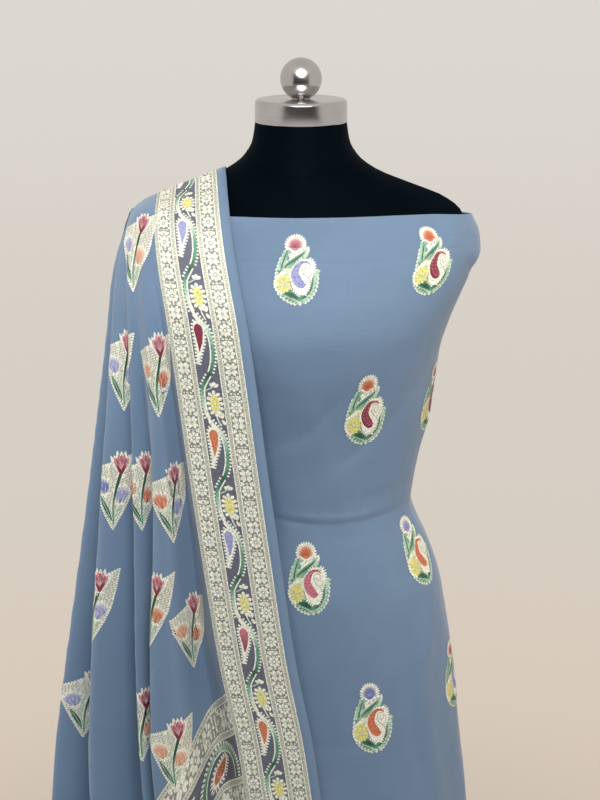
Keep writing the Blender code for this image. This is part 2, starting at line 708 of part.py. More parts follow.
def dupatta():
    columns = np.concatenate([[0, 0.5], 1 + np.arange(4 * BACK_FOLDS + 1) / (4 * BACK_FOLDS)])
    halves = [sheet_half(front, columns) for front in (True, False)]
    # Both halves meet at the ridge and, above the split, at the middle of the side.
    halves[1] = halves[1][::, ::-1]
    cloth_wall("dupatta", halves, DUPATTA_WALL, "cloth", twisted=True)


def main():
    clear_scene()
    stand()
    form_torso()
    neck_cap_and_finial()
    salwar_seat()
    salwar_waistband()
    for side, label in ((1, "right"), (-1, "left")):
        salwar_leg(side, label)
    kameez()
    dupatta()


main()
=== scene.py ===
import functools
import math

import bmesh
import bpy
import numpy as np
from mathutils import Matrix, Vector


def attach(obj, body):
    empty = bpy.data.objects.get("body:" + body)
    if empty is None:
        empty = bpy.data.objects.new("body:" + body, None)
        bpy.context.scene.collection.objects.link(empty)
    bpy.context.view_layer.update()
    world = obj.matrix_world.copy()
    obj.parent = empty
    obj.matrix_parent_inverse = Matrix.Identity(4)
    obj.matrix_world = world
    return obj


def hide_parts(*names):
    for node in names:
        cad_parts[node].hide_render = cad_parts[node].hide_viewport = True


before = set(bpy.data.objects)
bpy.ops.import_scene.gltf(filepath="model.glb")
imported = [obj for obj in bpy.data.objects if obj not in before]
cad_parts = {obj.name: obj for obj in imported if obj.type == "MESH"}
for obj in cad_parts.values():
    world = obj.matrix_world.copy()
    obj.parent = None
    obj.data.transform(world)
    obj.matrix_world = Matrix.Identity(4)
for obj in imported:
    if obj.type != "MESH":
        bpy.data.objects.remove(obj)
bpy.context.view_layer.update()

# A salwar kameez suit on a dress form. Metres, +Z up, the form faces -Y.
# Every cloth is one grid: its rows run round the piece, one above another, and its columns run up it.


# small helpers for curves and grids


def cubic(start, end, leaving, arriving, t):
    # from start to end as t goes from 0 to 1, with these slopes at the two ends
    return (
        start * (1 + 2 * t) * (1 - t) ** 2
        + leaving * t * (1 - t) ** 2
        + end * t * t * (3 - 2 * t)
        - arriving * t * t * (1 - t)
    )


def smoothThrough(knownAt, known, at):
    # a smooth curve through points, flat past its ends, with no overshoot
    knownAt = np.asarray(knownAt, float)
    known = np.asarray(known, float)
    steps = np.diff(knownAt)
    slopes = np.diff(known) / steps
    sameWay = slopes[:-1] * slopes[1:] > 0
    total = np.where(sameWay, slopes[:-1] + slopes[1:], 1.0)
    tangents = np.zeros(len(known))
    tangents[1:-1] = np.where(sameWay, 2 * slopes[:-1] * slopes[1:] / total, 0.0)
    tangents[0] = slopes[0]
    tangents[-1] = slopes[-1]
    at = np.clip(np.asarray(at, float), knownAt[0], knownAt[-1])
    i = np.clip(np.searchsorted(knownAt, at) - 1, 0, len(steps) - 1)
    t = (at - knownAt[i]) / steps[i]
    return cubic(known[i], known[i + 1], steps[i] * tangents[i], steps[i] * tangents[i + 1], t)


def fromTable(rows, column, at):
    return smoothThrough([row[0] for row in rows], [row[column] for row in rows], at)


def allFromTable(rows, at):
    return [fromTable(rows, column, at) for column in range(1, len(rows[0]))]


def ease(t):
    t = np.clip(t, 0.0, 1.0)
    return t * t * (3 - 2 * t)


def levelPoint(angle, halfWidth, front, back, roundness):
    # a point of a level section: angle 0 is +X and a quarter turn is the centre back
    across = np.cos(angle)
    along = np.sin(angle)
    depth = np.where(along < 0, front, back)
    power = 2 / roundness
    x = halfWidth * np.sign(across) * np.abs(across) ** power
    y = depth * np.sign(along) * np.abs(along) ** power
    return x, y


def runAlong(points, axis):
    # cloth distance from the first point, along rows or columns
    steps = np.linalg.norm(np.diff(points, axis=axis), axis=-1)
    start = np.zeros_like(np.take(steps, [0], axis=axis))
    return np.concatenate([start, np.cumsum(steps, axis=axis)], axis=axis)


def gridNormals(points):
    across = np.gradient(points, axis=1)
    along = np.gradient(points, axis=0)
    normals = np.cross(across, along)
    return normals / np.maximum(np.linalg.norm(normals, axis=-1, keepdims=True), 1e-12)


def keepMesh(name, made):
    mesh = bpy.data.meshes.new(name)
    made.to_mesh(mesh)
    made.free()
    return mesh


def addPiece(name, made, finish, smoothAngle=None):
    mesh = keepMesh(name, made)
    piece = bpy.data.objects.new(name, mesh)
    bpy.context.scene.collection.objects.link(piece)
    mesh.materials.append(finish)
    mesh.shade_smooth()
    if smoothAngle:
        mesh.set_sharp_from_angle(angle=math.radians(smoothAngle))
    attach(piece, "root")
    return piece


def wovenGrid(points, flat, turnOver=False):
    # a bmesh grid moved to these points, with its cloth coordinates as a UV map
    rows, columns = points.shape[:2]
    made = bmesh.new()
    layer = made.loops.layers.uv.new("cloth")
    bmesh.ops.create_grid(made, x_segments=columns - 1, y_segments=rows - 1, size=1)
    for vert, place in zip(made.verts, points.reshape(-1, 3)):
        vert.co = place
    places = flat.reshape(-1, 2)
    for face in made.faces:
        for loop in face.loops:
            loop[layer].uv = places[loop.vert.index]
    if turnOver:
        bmesh.ops.reverse_faces(made, faces=made.faces)
    return made


def solidify(piece, thickness):
    # the grid is the cloth's middle surface
    wall = piece.modifiers.new("wall", "SOLIDIFY")
    wall.thickness = thickness
    wall.offset = 0.0
    wall.use_even_offset = False


def closeSeam(made):
    bmesh.ops.remove_doubles(made, verts=made.verts, dist=1e-6)


# camera, light and floor

studio = {
    "cameraPlace": (0.0, -1.90, 1.75),
    "cameraTilt": 73.3,  # degrees from straight down
    "lens": 72.18,
    "shiftX": -1 / 800,
    "floorRadius": 1.9,
    "floorSides": 96,
    "floorFade": (0.45, 1.60),  # how far out it starts to fade, and where it is gone
    "floorColour": (0.60, 0.54, 0.47, 1.0),
    "floorRoughness": 0.85,
    "floorGrain": (28.0, 6.0),  # scale and detail of its noise
    "floorMottle": 0.08,
    "floorBump": (0.0006, 0.2),  # height in metres and strength
    # behind everything: direction's height from 0 to 1, colour
    "backdrop": (
        (0.24, (0.690, 0.585, 0.480, 1)),
        (0.36, (0.675, 0.625, 0.560, 1)),
        (0.48, (0.715, 0.685, 0.640, 1)),
    ),
    "surroundColour": (0.86, 0.92, 1.0, 1),
    "surroundStrength": 0.27,
    # what polished steel mirrors: bright room to the sides and above, dark ahead
    "mirrorColour": (1.0, 0.95, 0.91, 1),
    "mirrorDark": 0.09,
    "mirrorBright": 0.68,
    "mirrorSides": (0.60, 0.76),
    "mirrorHeights": (0.34, 0.62),
    # name, place, what it faces, size, power, colour, whether steel mirrors it
    "lights": (
        ("keyLight", (0.06, -1.38, 2.52), (0.0, 0.0, 1.36), 1.3, 36, (1.0, 0.99, 0.98), True),
        ("leftLight", (-1.7, 0.05, 1.75), (0.0, 0.0, 1.25), 1.0, 19, (1.0, 0.93, 0.86), False),
        ("rightLight", (1.7, -0.45, 1.75), (0.0, 0.0, 1.3), 1.0, 14, (1.0, 0.80, 0.62), False),
        ("backLight", (0.4, 1.9, 2.3), (0.0, 0.0, 1.0), 1.6, 24, (1.0, 0.95, 0.90), False),
    ),
}


def setUpStudio():
    camera = bpy.data.objects.new("camera", bpy.data.cameras.new("camera"))
    bpy.context.scene.collection.objects.link(camera)
    camera.location = studio["cameraPlace"]
    camera.rotation_euler = (math.radians(studio["cameraTilt"]), 0, 0)
    camera.data.sensor_fit = "AUTO"
    camera.data.sensor_width = 36
    camera.data.lens = studio["lens"]
    camera.data.shift_x = studio["shiftX"]
    bpy.context.scene.camera = camera
    bpy.context.scene.view_settings.view_transform = "Standard"

    world = bpy.data.worlds.new("studio")
    bpy.context.scene.world = world
    world.use_nodes = True
    tree = world.node_tree
    surround = tree.nodes["Background"]
    surround.inputs["Color"].default_value = studio["surroundColour"]
    surround.inputs["Strength"].default_value = studio["surroundStrength"]
    direction = addNode(tree, "TexCoord", {}).outputs["Generated"]
    split = addNode(tree, "SeparateXYZ", {"Vector": direction})
    share = maths(tree, "MULTIPLY_ADD", split.outputs["Z"], 0.5, 0.5)
    ramp = addNode(tree, "ValToRGB", {"Fac": share})
    ramp.color_ramp.interpolation = "EASE"
    stops = studio["backdrop"]
    ramp.color_ramp.elements[0].position, ramp.color_ramp.elements[0].color = stops[0]
    ramp.color_ramp.elements[1].position, ramp.color_ramp.elements[1].color = stops[-1]
    for position, colour in stops[1:-1]:
        ramp.color_ramp.elements.new(position).color = colour
    backdrop = addNode(tree, "Background", {"Color": ramp.outputs["Color"], "Strength": 1.0})
    shares = [maths(tree, "GREATER_THAN", split.outputs["Y"], 0.0)]
    for axis, reach in (("X", studio["mirrorSides"]), ("Z", studio["mirrorHeights"])):
        away = maths(tree, "ABSOLUTE", split.outputs[axis])
        shares.append(smoothStep(tree, away, reach, (0.0, 1.0)))
    bright = maths(tree, "MAXIMUM", maths(tree, "MAXIMUM", shares[0], shares[1]), shares[2])
    spread = studio["mirrorBright"] - studio["mirrorDark"]
    strength = maths(tree, "MULTIPLY_ADD", bright, spread, studio["mirrorDark"])
    mirrored = addNode(tree, "Background", {"Color": studio["mirrorColour"], "Strength": strength})
    ray = addNode(tree, "LightPath", {})
    unseen = addNode(tree, "MixShader", {
        0: ray.outputs["Is Glossy Ray"], 1: surround.outputs[0], 2: mirrored.outputs[0]})
    chosen = addNode(tree, "MixShader", {
        0: ray.outputs["Is Camera Ray"], 1: unseen.outputs[0], 2: backdrop.outputs[0]})
    tree.links.new(chosen.outputs[0], tree.nodes["World Output"].inputs["Surface"])

    for name, place, aim, size, power, colour, mirroredToo in studio["lights"]:
        light = bpy.data.lights.new(name, "AREA")
        light.shape = "DISK"
        light.size = size
        light.energy = power
        light.color = colour
        lamp = bpy.data.objects.new(name, light)
        bpy.context.scene.collection.objects.link(lamp)
        lamp.location = place
        lamp.visible_glossy = mirroredToo
        lamp.rotation_euler = (Vector(aim) - Vector(place)).to_track_quat("-Z", "Y").to_euler()


def layFloor():
    made = bmesh.new()
    bmesh.ops.create_circle(made, cap_ends=True, segments=studio["floorSides"], radius=studio["floorRadius"])
    floor = bpy.data.objects.new("floor", keepMesh("floor", made))
    bpy.context.scene.collection.objects.link(floor)
    floor.data.materials.append(floorFinish())


# finishes

looks = {
    "crepe": (0.150, 0.228, 0.335, 1.0),
    "crepeThreads": 1300.0,  # a metre
    "crepeSlub": 0.045,
    "crepeMottle": 0.035,
    "crepeShine": 0.28,
    "sheen": 0.34,
    "sheenRoughness": 0.42,
    "sheenTint": (0.80, 0.76, 0.72, 1.0),
    "crepeBump": (0.00025, 0.35),  # height in metres and strength
    "floatDepth": 0.34,  # how much darker the gaps between floats of thread are
    "threadBump": (0.0004, 0.5),
    "cover": (0.0006, 0.0024, 0.0044, 1.0),
    "coverThreads": 900.0,
    "coverSlub": 0.10,
    "coverMottle": 0.30,
    "coverShine": 0.02,
    "coverBump": (0.0002, 0.3),
    "steel": (0.56, 0.545, 0.53, 1.0),
    "steelLines": 0.30,
    "steelAnisotropy": 0.35,
    "steelBump": (0.00004, 0.35),
    # noises: scale along each axis, and detail
    "yarnStreak": ((10, 430, 10), 3.0),
    "yarnRipple": ((240, 7, 7), 2.0),
    "yarnCloud": ((11, 8, 8), 4.0),
    "yarnGrain": ((900, 900, 900), 2.0),
    "threadFloats": ((620, 330, 400), 2.0),
    "steelScratches": ((6, 6, 1600), 3.0),
    "steelWear": ((55, 55, 70), 4.0),
    # how much each changes the tone, and the relief
    "yarnTones": {"streak": 3.0, "ripple": 1.5, "cloud": 4.0, "grain": 0.24, "weave": 0.05},
    "threadTones": {"floats": 4.5, "twill": 0.06},
    "yarnRelief": {"weave": 0.35, "streak": 0.8},
    "twillRelief": 0.3,
    # roughness: its range, and its middle
    "yarnRough": (0.30, 0.62),
    "threadRough": (0.6, 0.50),
    "steelRough": (0.25, 0.20),
    "scratchRough": 0.5,
    "floatMiddle": 0.52,  # threads higher than this are lighter
    "twill": (5200.0, 3600.0, 0.0),  # radians a metre across and along the cloth
}


def addNode(tree, kind, inputs, **settings):
    # a node with its settings and its inputs, each a value or the socket that feeds it
    node = tree.nodes.new("ShaderNode" + kind)
    for name, value in settings.items():
        setattr(node, name, value)
    for name, value in inputs.items():
        if isinstance(value, bpy.types.NodeSocket):
            tree.links.new(value, node.inputs[name])
        else:
            node.inputs[name].default_value = value
    return node


def maths(tree, operation, *values):
    return addNode(tree, "Math", dict(enumerate(values)), operation=operation).outputs[0]


def smoothStep(tree, value, start, result):
    return addNode(tree, "MapRange", {
        "Value": value, "From Min": start[0], "From Max": start[1], "To Min": result[0], "To Max": result[1],
    }, interpolation_type="SMOOTHSTEP").outputs["Result"]


def around(tree, socket, spread):
    # a noise from 0 to 1 as a change of up to this much either way
    centred = maths(tree, "SUBTRACT", socket, 0.5)
    return maths(tree, "MULTIPLY", centred, spread)


def mixture(tree, start, *shares):
    # start, and each socket by its factor added to it
    for socket, factor in shares:
        start = maths(tree, "MULTIPLY_ADD", socket, factor, start)
    return start


def stretchedNoise(tree, place, scale, detail):
    stretched = addNode(tree, "VectorMath", {0: place, 1: scale}, operation="MULTIPLY").outputs["Vector"]
    return addNode(tree, "TexNoise", {"Vector": stretched, "Scale": 1.0, "Detail": detail}).outputs["Fac"]


def startGroup(name, numbers):
    # a surface: it takes coordinates, a colour and these numbers, and gives colour, roughness and height
    group = bpy.data.node_groups.new(name, "ShaderNodeTree")
    given = (("Coordinates", "Vector"), ("Colour", "Color")) + tuple((label, "Float") for label in numbers)
    result = (("Colour", "Color"), ("Roughness", "Float"), ("Height", "Float"))
    for direction, sockets in (("INPUT", given), ("OUTPUT", result)):
        for label, kind in sockets:
            group.interface.new_socket(name=label, in_out=direction, socket_type="NodeSocket" + kind)
    return group, group.nodes.new("NodeGroupInput").outputs


def endGroup(group, given, tone, rough, height):
    # tone is how much lighter or darker the colour turns
    value = maths(group, "ADD", tone, 1.0)
    toned = addNode(group, "HueSaturation", {"Color": given["Colour"], "Value": value})
    result = group.nodes.new("NodeGroupOutput").inputs
    for label, socket in (("Colour", toned.outputs["Color"]), ("Roughness", rough), ("Height", height)):
        group.links.new(socket, result[label])
    return group


def makeWeaveGroup():
    # a plain weave of uneven yarn: slubs along the weft, a crepe grain and slow clouds of tone
    group, given = startGroup("yarnWeave", ("Threads", "Slub", "Mottle"))
    place = given["Coordinates"]
    turns = maths(group, "MULTIPLY", given["Threads"], 2 * math.pi)
    scaled = addNode(group, "VectorMath", {0: place, "Scale": turns}, operation="SCALE").outputs["Vector"]
    split = addNode(group, "SeparateXYZ", {"Vector": scaled})
    warp = maths(group, "SINE", split.outputs["X"])
    weft = maths(group, "SINE", split.outputs["Y"])
    weave = maths(group, "MULTIPLY", warp, weft)
    streak = stretchedNoise(group, place, *looks["yarnStreak"])
    ripple = stretchedNoise(group, place, *looks["yarnRipple"])
    cloud = stretchedNoise(group, place, *looks["yarnCloud"])
    grain = stretchedNoise(group, place, *looks["yarnGrain"])
    tones = looks["yarnTones"]
    tone = mixture(
        group, around(group, grain, tones["grain"]), (weave, tones["weave"]),
        (around(group, streak, tones["streak"]), given["Slub"]),
        (around(group, ripple, tones["ripple"]), given["Slub"]),
        (around(group, cloud, tones["cloud"]), given["Mottle"]),
    )
    spread, middle = looks["yarnRough"]
    rough = maths(group, "ADD", around(group, grain, spread), middle)
    relief = looks["yarnRelief"]
    height = mixture(group, grain, (weave, relief["weave"]), (streak, relief["streak"]))
    return endGroup(group, given, tone, rough, height)


def makeStitchGroup():
    # floats of thread with small gaps between them, as brocade has
    group, given = startGroup("threadFloats", ("Depth",))
    place = given["Coordinates"]
    floats = stretchedNoise(group, place, *looks["threadFloats"])
    slanting = addNode(group, "VectorMath", {0: place, 1: looks["twill"]}, operation="DOT_PRODUCT")
    twill = maths(group, "SINE", slanting.outputs["Value"])
    tones = looks["threadTones"]
    raised = maths(group, "SUBTRACT", floats, looks["floatMiddle"])
    tone = maths(group, "MULTIPLY", maths(group, "MULTIPLY", raised, given["Depth"]), tones["floats"])
    tone = mixture(group, tone, (twill, tones["twill"]))
    spread, middle = looks["threadRough"]
    rough = maths(group, "ADD", around(group, floats, spread), middle)
    height = mixture(group, floats, (twill, looks["twillRelief"]))
    return endGroup(group, given, tone, rough, height)


def makeBrushedGroup():
    # fine lines turned round the axis, and a few duller handled places
    group, given = startGroup("turnedMetal", ("Lines",))
    place = given["Coordinates"]
    spread, middle = looks["steelRough"]
    lines = stretchedNoise(group, place, *looks["steelScratches"])
    worn = around(group, stretchedNoise(group, place, *looks["steelWear"]), spread)
    fine = around(group, lines, given["Lines"])
    rough = mixture(group, maths(group, "ADD", worn, middle), (fine, looks["scratchRough"]))
    return endGroup(group, given, maths(group, "ADD", fine, worn), rough, lines)


def startFinish(name):
    finish = bpy.data.materials.new(name)
    finish.use_nodes = True
    return finish, finish.node_tree, finish.node_tree.nodes["Principled BSDF"]


def addBump(tree, shader, height, relief):
    distance, strength = relief
    bump = addNode(tree, "Bump", {"Height": height, "Distance": distance, "Strength": strength})
    tree.links.new(bump.outputs["Normal"], shader.inputs["Normal"])


def wearSurface(tree, shader, group, inputs, relief):
    # a group's colour, roughness and height go to the shader
    surface = addNode(tree, "Group", inputs, node_tree=group)
    tree.links.new(surface.outputs["Colour"], shader.inputs["Base Color"])
    tree.links.new(surface.outputs["Roughness"], shader.inputs["Roughness"])
    addBump(tree, shader, surface.outputs["Height"], relief)


def crepeFinish(group):
    finish, tree, shader = startFinish("crepeCloth")
    place = addNode(tree, "UVMap", {}, uv_map="cloth").outputs["UV"]
    wearSurface(tree, shader, group, {
        "Coordinates": place, "Colour": looks["crepe"], "Threads": looks["crepeThreads"],
        "Slub": looks["crepeSlub"], "Mottle": looks["crepeMottle"],
    }, looks["crepeBump"])
    shader.inputs["Specular IOR Level"].default_value = looks["crepeShine"]
    shader.inputs["Sheen Weight"].default_value = looks["sheen"]
    shader.inputs["Sheen Roughness"].default_value = looks["sheenRoughness"]
    shader.inputs["Sheen Tint"].default_value = looks["sheenTint"]
    return finish


def threadFinish(group):
    # woven thread: its own colours, with a metallic glint where it is zari
    finish, tree, shader = startFinish("threadWork")
    colour = addNode(tree, "Attribute", {}, attribute_name="threadColour").outputs["Color"]
    metal = addNode(tree, "Attribute", {}, attribute_name="metalThread").outputs["Fac"]
    place = addNode(tree, "UVMap", {}, uv_map="cloth").outputs["UV"]
    wearSurface(tree, shader, group, {
        "Coordinates": place, "Colour": colour, "Depth": looks["floatDepth"],
    }, looks["threadBump"])
    tree.links.new(metal, shader.inputs["Metallic"])
    return finish


def coverFinish(group):
    # the dress form's black jersey, lightly rubbed
    finish, tree, shader = startFinish("formCover")
    place = addNode(tree, "TexCoord", {}).outputs["Object"]
    wearSurface(tree, shader, group, {
        "Coordinates": place, "Colour": looks["cover"], "Threads": looks["coverThreads"],
        "Slub": looks["coverSlub"], "Mottle": looks["coverMottle"],
    }, looks["coverBump"])
    shader.inputs["Specular IOR Level"].default_value = looks["coverShine"]
    return finish


def steelFinish(group):
    finish, tree, shader = startFinish("polishedSteel")
    place = addNode(tree, "TexCoord", {}).outputs["Object"]
    wearSurface(tree, shader, group, {
        "Coordinates": place, "Colour": looks["steel"], "Lines": looks["steelLines"],
    }, looks["steelBump"])
    shader.inputs["Metallic"].default_value = 1.0
    shader.inputs["Anisotropic"].default_value = looks["steelAnisotropy"]
    return finish


def floorFinish():
    finish, tree, shader = startFinish("floorFinish")
    place = addNode(tree, "TexCoord", {}).outputs["Object"]
    scale, detail = studio["floorGrain"]
    grain = addNode(tree, "TexNoise", {"Vector": place, "Scale": scale, "Detail": detail}).outputs["Fac"]
    value = maths(tree, "ADD", around(tree, grain, studio["floorMottle"]), 1.0)
    toned = addNode(tree, "HueSaturation", {"Color": studio["floorColour"], "Value": value})
    tree.links.new(toned.outputs["Color"], shader.inputs["Base Color"])
    shader.inputs["Roughness"].default_value = studio["floorRoughness"]
    addBump(tree, shader, grain, studio["floorBump"])
    # the floor fades out, so that it has no far edge
    away = addNode(tree, "VectorMath", {0: place}, operation="LENGTH").outputs["Value"]
    tree.links.new(smoothStep(tree, away, studio["floorFade"], (1.0, 0.0)), shader.inputs["Alpha"])
    return finish


# the dress form

torso = {
    "bottom": 0.745,
    "top": 1.521,
    "columns": 96,
    "rows": 130,
    "bust": {"height": 1.285, "spread": 0.088, "rise": 0.020, "halfHeight": 0.048, "halfWidth": 0.050},
    "smoothAngle": 50,
    # height, half width, front, back, roundness
    "sections": (
        (0.745, 0.168, 0.105, 0.112, 2.2),
        (0.760, 0.174, 0.110, 0.118, 2.2),
        (0.840, 0.177, 0.112, 0.122, 2.2),
        (0.930, 0.165, 0.106, 0.115, 2.2),
        (1.000, 0.143, 0.098, 0.100, 2.1),
        (1.066, 0.129, 0.092, 0.087, 2.1),
        (1.150, 0.138, 0.098, 0.092, 2.2),
        (1.220, 0.148, 0.108, 0.098, 2.3),
        (1.270, 0.158, 0.114, 0.100, 2.4),
        (1.310, 0.184, 0.115, 0.098, 2.4),
        (1.345, 0.195, 0.110, 0.094, 2.4),
        (1.380, 0.198, 0.103, 0.088, 2.2),
        (1.400, 0.197, 0.098, 0.084, 1.9),
        (1.417, 0.191, 0.091, 0.080, 1.5),
        (1.434, 0.170, 0.083, 0.074, 1.25),
        (1.450, 0.130, 0.075, 0.067, 1.25),
        (1.466, 0.090, 0.068, 0.060, 1.5),
        (1.482, 0.068, 0.062, 0.056, 1.9),
        (1.500, 0.0575, 0.0575, 0.0550, 2.0),
        (1.521, 0.0540, 0.0540, 0.0540, 2.0),
    ),
}


def torsoPoints(heights, columns, easeOut=0.0):
    angle = np.linspace(0, 2 * np.pi, columns + 1)[None, :]
    height = np.asarray(heights)[:, None]
    halfWidth, front, back, roundness = allFromTable(torso["sections"], height)
    x, y = levelPoint(angle, halfWidth + easeOut, front + easeOut, back + easeOut, roundness)
    return np.stack([x, y, height + 0 * x], axis=-1)


def makeTorso(finish):
    heights = np.linspace(torso["bottom"], torso["top"], torso["rows"])
    points = torsoPoints(heights, torso["columns"])
    bust = torso["bust"]
    x, y = points[..., 0], points[..., 1]
    rise = bust["rise"] * np.exp(-(((points[..., 2] - bust["height"]) / bust["halfHeight"]) ** 2))
    aside = np.exp(-(((np.abs(x) - bust["spread"]) / bust["halfWidth"]) ** 2))
    points[..., 1] = y - rise * aside * ease(-y / bust["halfWidth"])
    made = wovenGrid(points, points[..., [0, 2]])
    closeSeam(made)
    bmesh.ops.holes_fill(made, edges=made.edges, sides=0)
    piece = addPiece("formTorso", made, finish, torso["smoothAngle"])
    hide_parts("form_torso")


formSeams = {
    "radius": 0.00045,
    "sides": 8,
    "neck": (1.488, 0.022, 0.012),  # height at the sides, how far it dips in front and behind
    "neckPoints": 121,
    "lowest": 1.36,  # the centre seams go down under the cloth
    "centrePoints": 24,
}


def makeSeams(finish):
    # raised seams: one round the foot of the neck, one down the centre front and back
    height, frontDip, backDip = formSeams["neck"]
    turn = np.linspace(0, 2 * np.pi, formSeams["neckPoints"])
    dip = np.where(np.sin(turn) < 0, frontDip, backDip) * np.abs(np.sin(turn)) ** 1.6
    paths = [(turn, height - dip)]
    count = formSeams["centrePoints"]
    for angle, top in ((-np.pi / 2, height - frontDip), (np.pi / 2, height - backDip)):
        paths.append((np.full(count, angle), np.linspace(top, formSeams["lowest"], count)))
    made = bmesh.new()
    for turn, height in paths:
        halfWidth, front, back, roundness = allFromTable(torso["sections"], height)
        x, y = levelPoint(turn, halfWidth, front, back, roundness)
        path = np.stack([x, y, height], axis=1)
        toward = np.gradient(path, axis=0)
        toward /= np.linalg.norm(toward, axis=1, keepdims=True)
        out = np.stack([x, y, 0 * x], axis=1)
        out -= (out * toward).sum(axis=1, keepdims=True) * toward
        out /= np.linalg.norm(out, axis=1, keepdims=True)
        aside = np.cross(toward, out)
        angle = np.linspace(0, 2 * np.pi, formSeams["sides"] + 1)[None, :, None]
        ring = np.cos(angle) * out[:, None] + np.sin(angle) * aside[:, None]
        tube = wovenGrid(path[:, None] + formSeams["radius"] * ring, ring[..., :2])
        made.from_mesh(keepMesh("seam", tube))
    closeSeam(made)
    bmesh.ops.holes_fill(made, edges=made.edges, sides=0)
    bmesh.ops.recalc_face_normals(made, faces=made.faces)
    piece = addPiece("formSeams", made, finish)


# stand, neck cap and finial, all turned on the pole's axis

stand = {
    "seamGap": 0.0003,
    "baseRadius": 0.19,
    "baseThickness": 0.014,
    "baseEdges": (0.002, 0.004),  # cut off its lower and upper edge
    "baseBevel": 0.0012,
    "poleRadius": 0.016,
    "poleBevel": 0.0008,
    "collarRadius": 0.030,
    "collarHeight": 0.045,
    "collarEdge": 0.006,
    "collarBevel": 0.0010,
    "capRadius": 0.0545,
    "capHeight": 0.027,
    # its rim: in from the radius, and up from the foot or down from the top
    "capFoot": ((0.001, 0.0), (0.0, 0.0015)),
    "capTop": ((0.0004, 0.003), (0.003, 0.0004), (0.006, 0.0)),
    "capBevel": 0.0008,
    "ballRadius": 0.0245,
    "ballFoot": 0.011,  # radius of its seat on the cap
    "ballRise": 0.0008,
    "ballRows": 40,
    "steps": 96,
    "bevelSegments": 3,
    "bevelAngle": 40,
    "smoothAngle": 35,
}


def turned(name, node, profile, finish, bevel=0.0):
    # profile is (radius, height) from the bottom up, closed at the axis
    made = bmesh.new()
    verts = [made.verts.new((radius, 0, height)) for radius, height in profile]
    edges = [made.edges.new(pair) for pair in zip(verts, verts[1:])]
    bmesh.ops.spin(
        made, geom=verts + edges, axis=(0, 0, 1), cent=(0, 0, 0), angle=2 * math.pi,
        steps=stand["steps"], use_merge=True,
    )
    closeSeam(made)
    bmesh.ops.recalc_face_normals(made, faces=made.faces)
    piece = addPiece(name, made, finish, stand["smoothAngle"])
    if bevel:
        edge = piece.modifiers.new("softEdge", "BEVEL")
        edge.width = bevel
        edge.segments = stand["bevelSegments"]
        edge.limit_method = "ANGLE"
        edge.angle_limit = math.radians(stand["bevelAngle"])
        edge.harden_normals = True
    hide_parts(node)


def makeStand(finish):
    gap = stand["seamGap"]
    radius = stand["baseRadius"]
    thickness = stand["baseThickness"]
    under, over = stand["baseEdges"]
    turned("standBase", "stand_base", (
        (0, 0), (radius - under, 0), (radius, under), (radius, thickness - over),
        (radius - over, thickness), (0, thickness),
    ), finish, stand["baseBevel"])
    foot = thickness + gap
    top = foot + stand["collarHeight"]
    collar = stand["collarRadius"]
    edge = stand["collarEdge"]
    turned("standCollar", "stand_collar", (
        (0, foot), (collar, foot), (collar, top - edge), (collar - edge, top), (0, top),
    ), finish, stand["collarBevel"])
    pole = stand["poleRadius"]
    turned("standPole", "stand_pole", (
        (0, top + gap), (pole, top + gap), (pole, torso["bottom"] - gap), (0, torso["bottom"] - gap),
    ), finish, stand["poleBevel"])


def makeCapAndBall(finish):
    radius = stand["capRadius"]
    bottom = torso["top"] + stand["seamGap"]
    top = bottom + stand["capHeight"]
    profile = [(0, bottom)]
    profile += [(radius - inward, bottom + up) for inward, up in stand["capFoot"]]
    profile += [(radius - inward, top - down) for inward, down in stand["capTop"]]
    turned("neckCap", "neck_cap", [*profile, (0, top)], finish, stand["capBevel"])
    ball = stand["ballRadius"]
    foot = stand["ballFoot"]
    seat = top + stand["seamGap"]
    centre = seat + stand["ballRise"] + math.sqrt(ball**2 - foot**2)
    angles = np.linspace(-math.acos(foot / ball), math.pi / 2, stand["ballRows"])
    outline = [(ball * math.cos(angle), centre + ball * math.sin(angle)) for angle in angles[:-1]]
    turned("finialBall", "finial_ball", [(0, seat), (foot, seat), *outline, (0, centre + ball)], finish)


# the kameez: one uncut length, wrapped from the centre back and lapped there

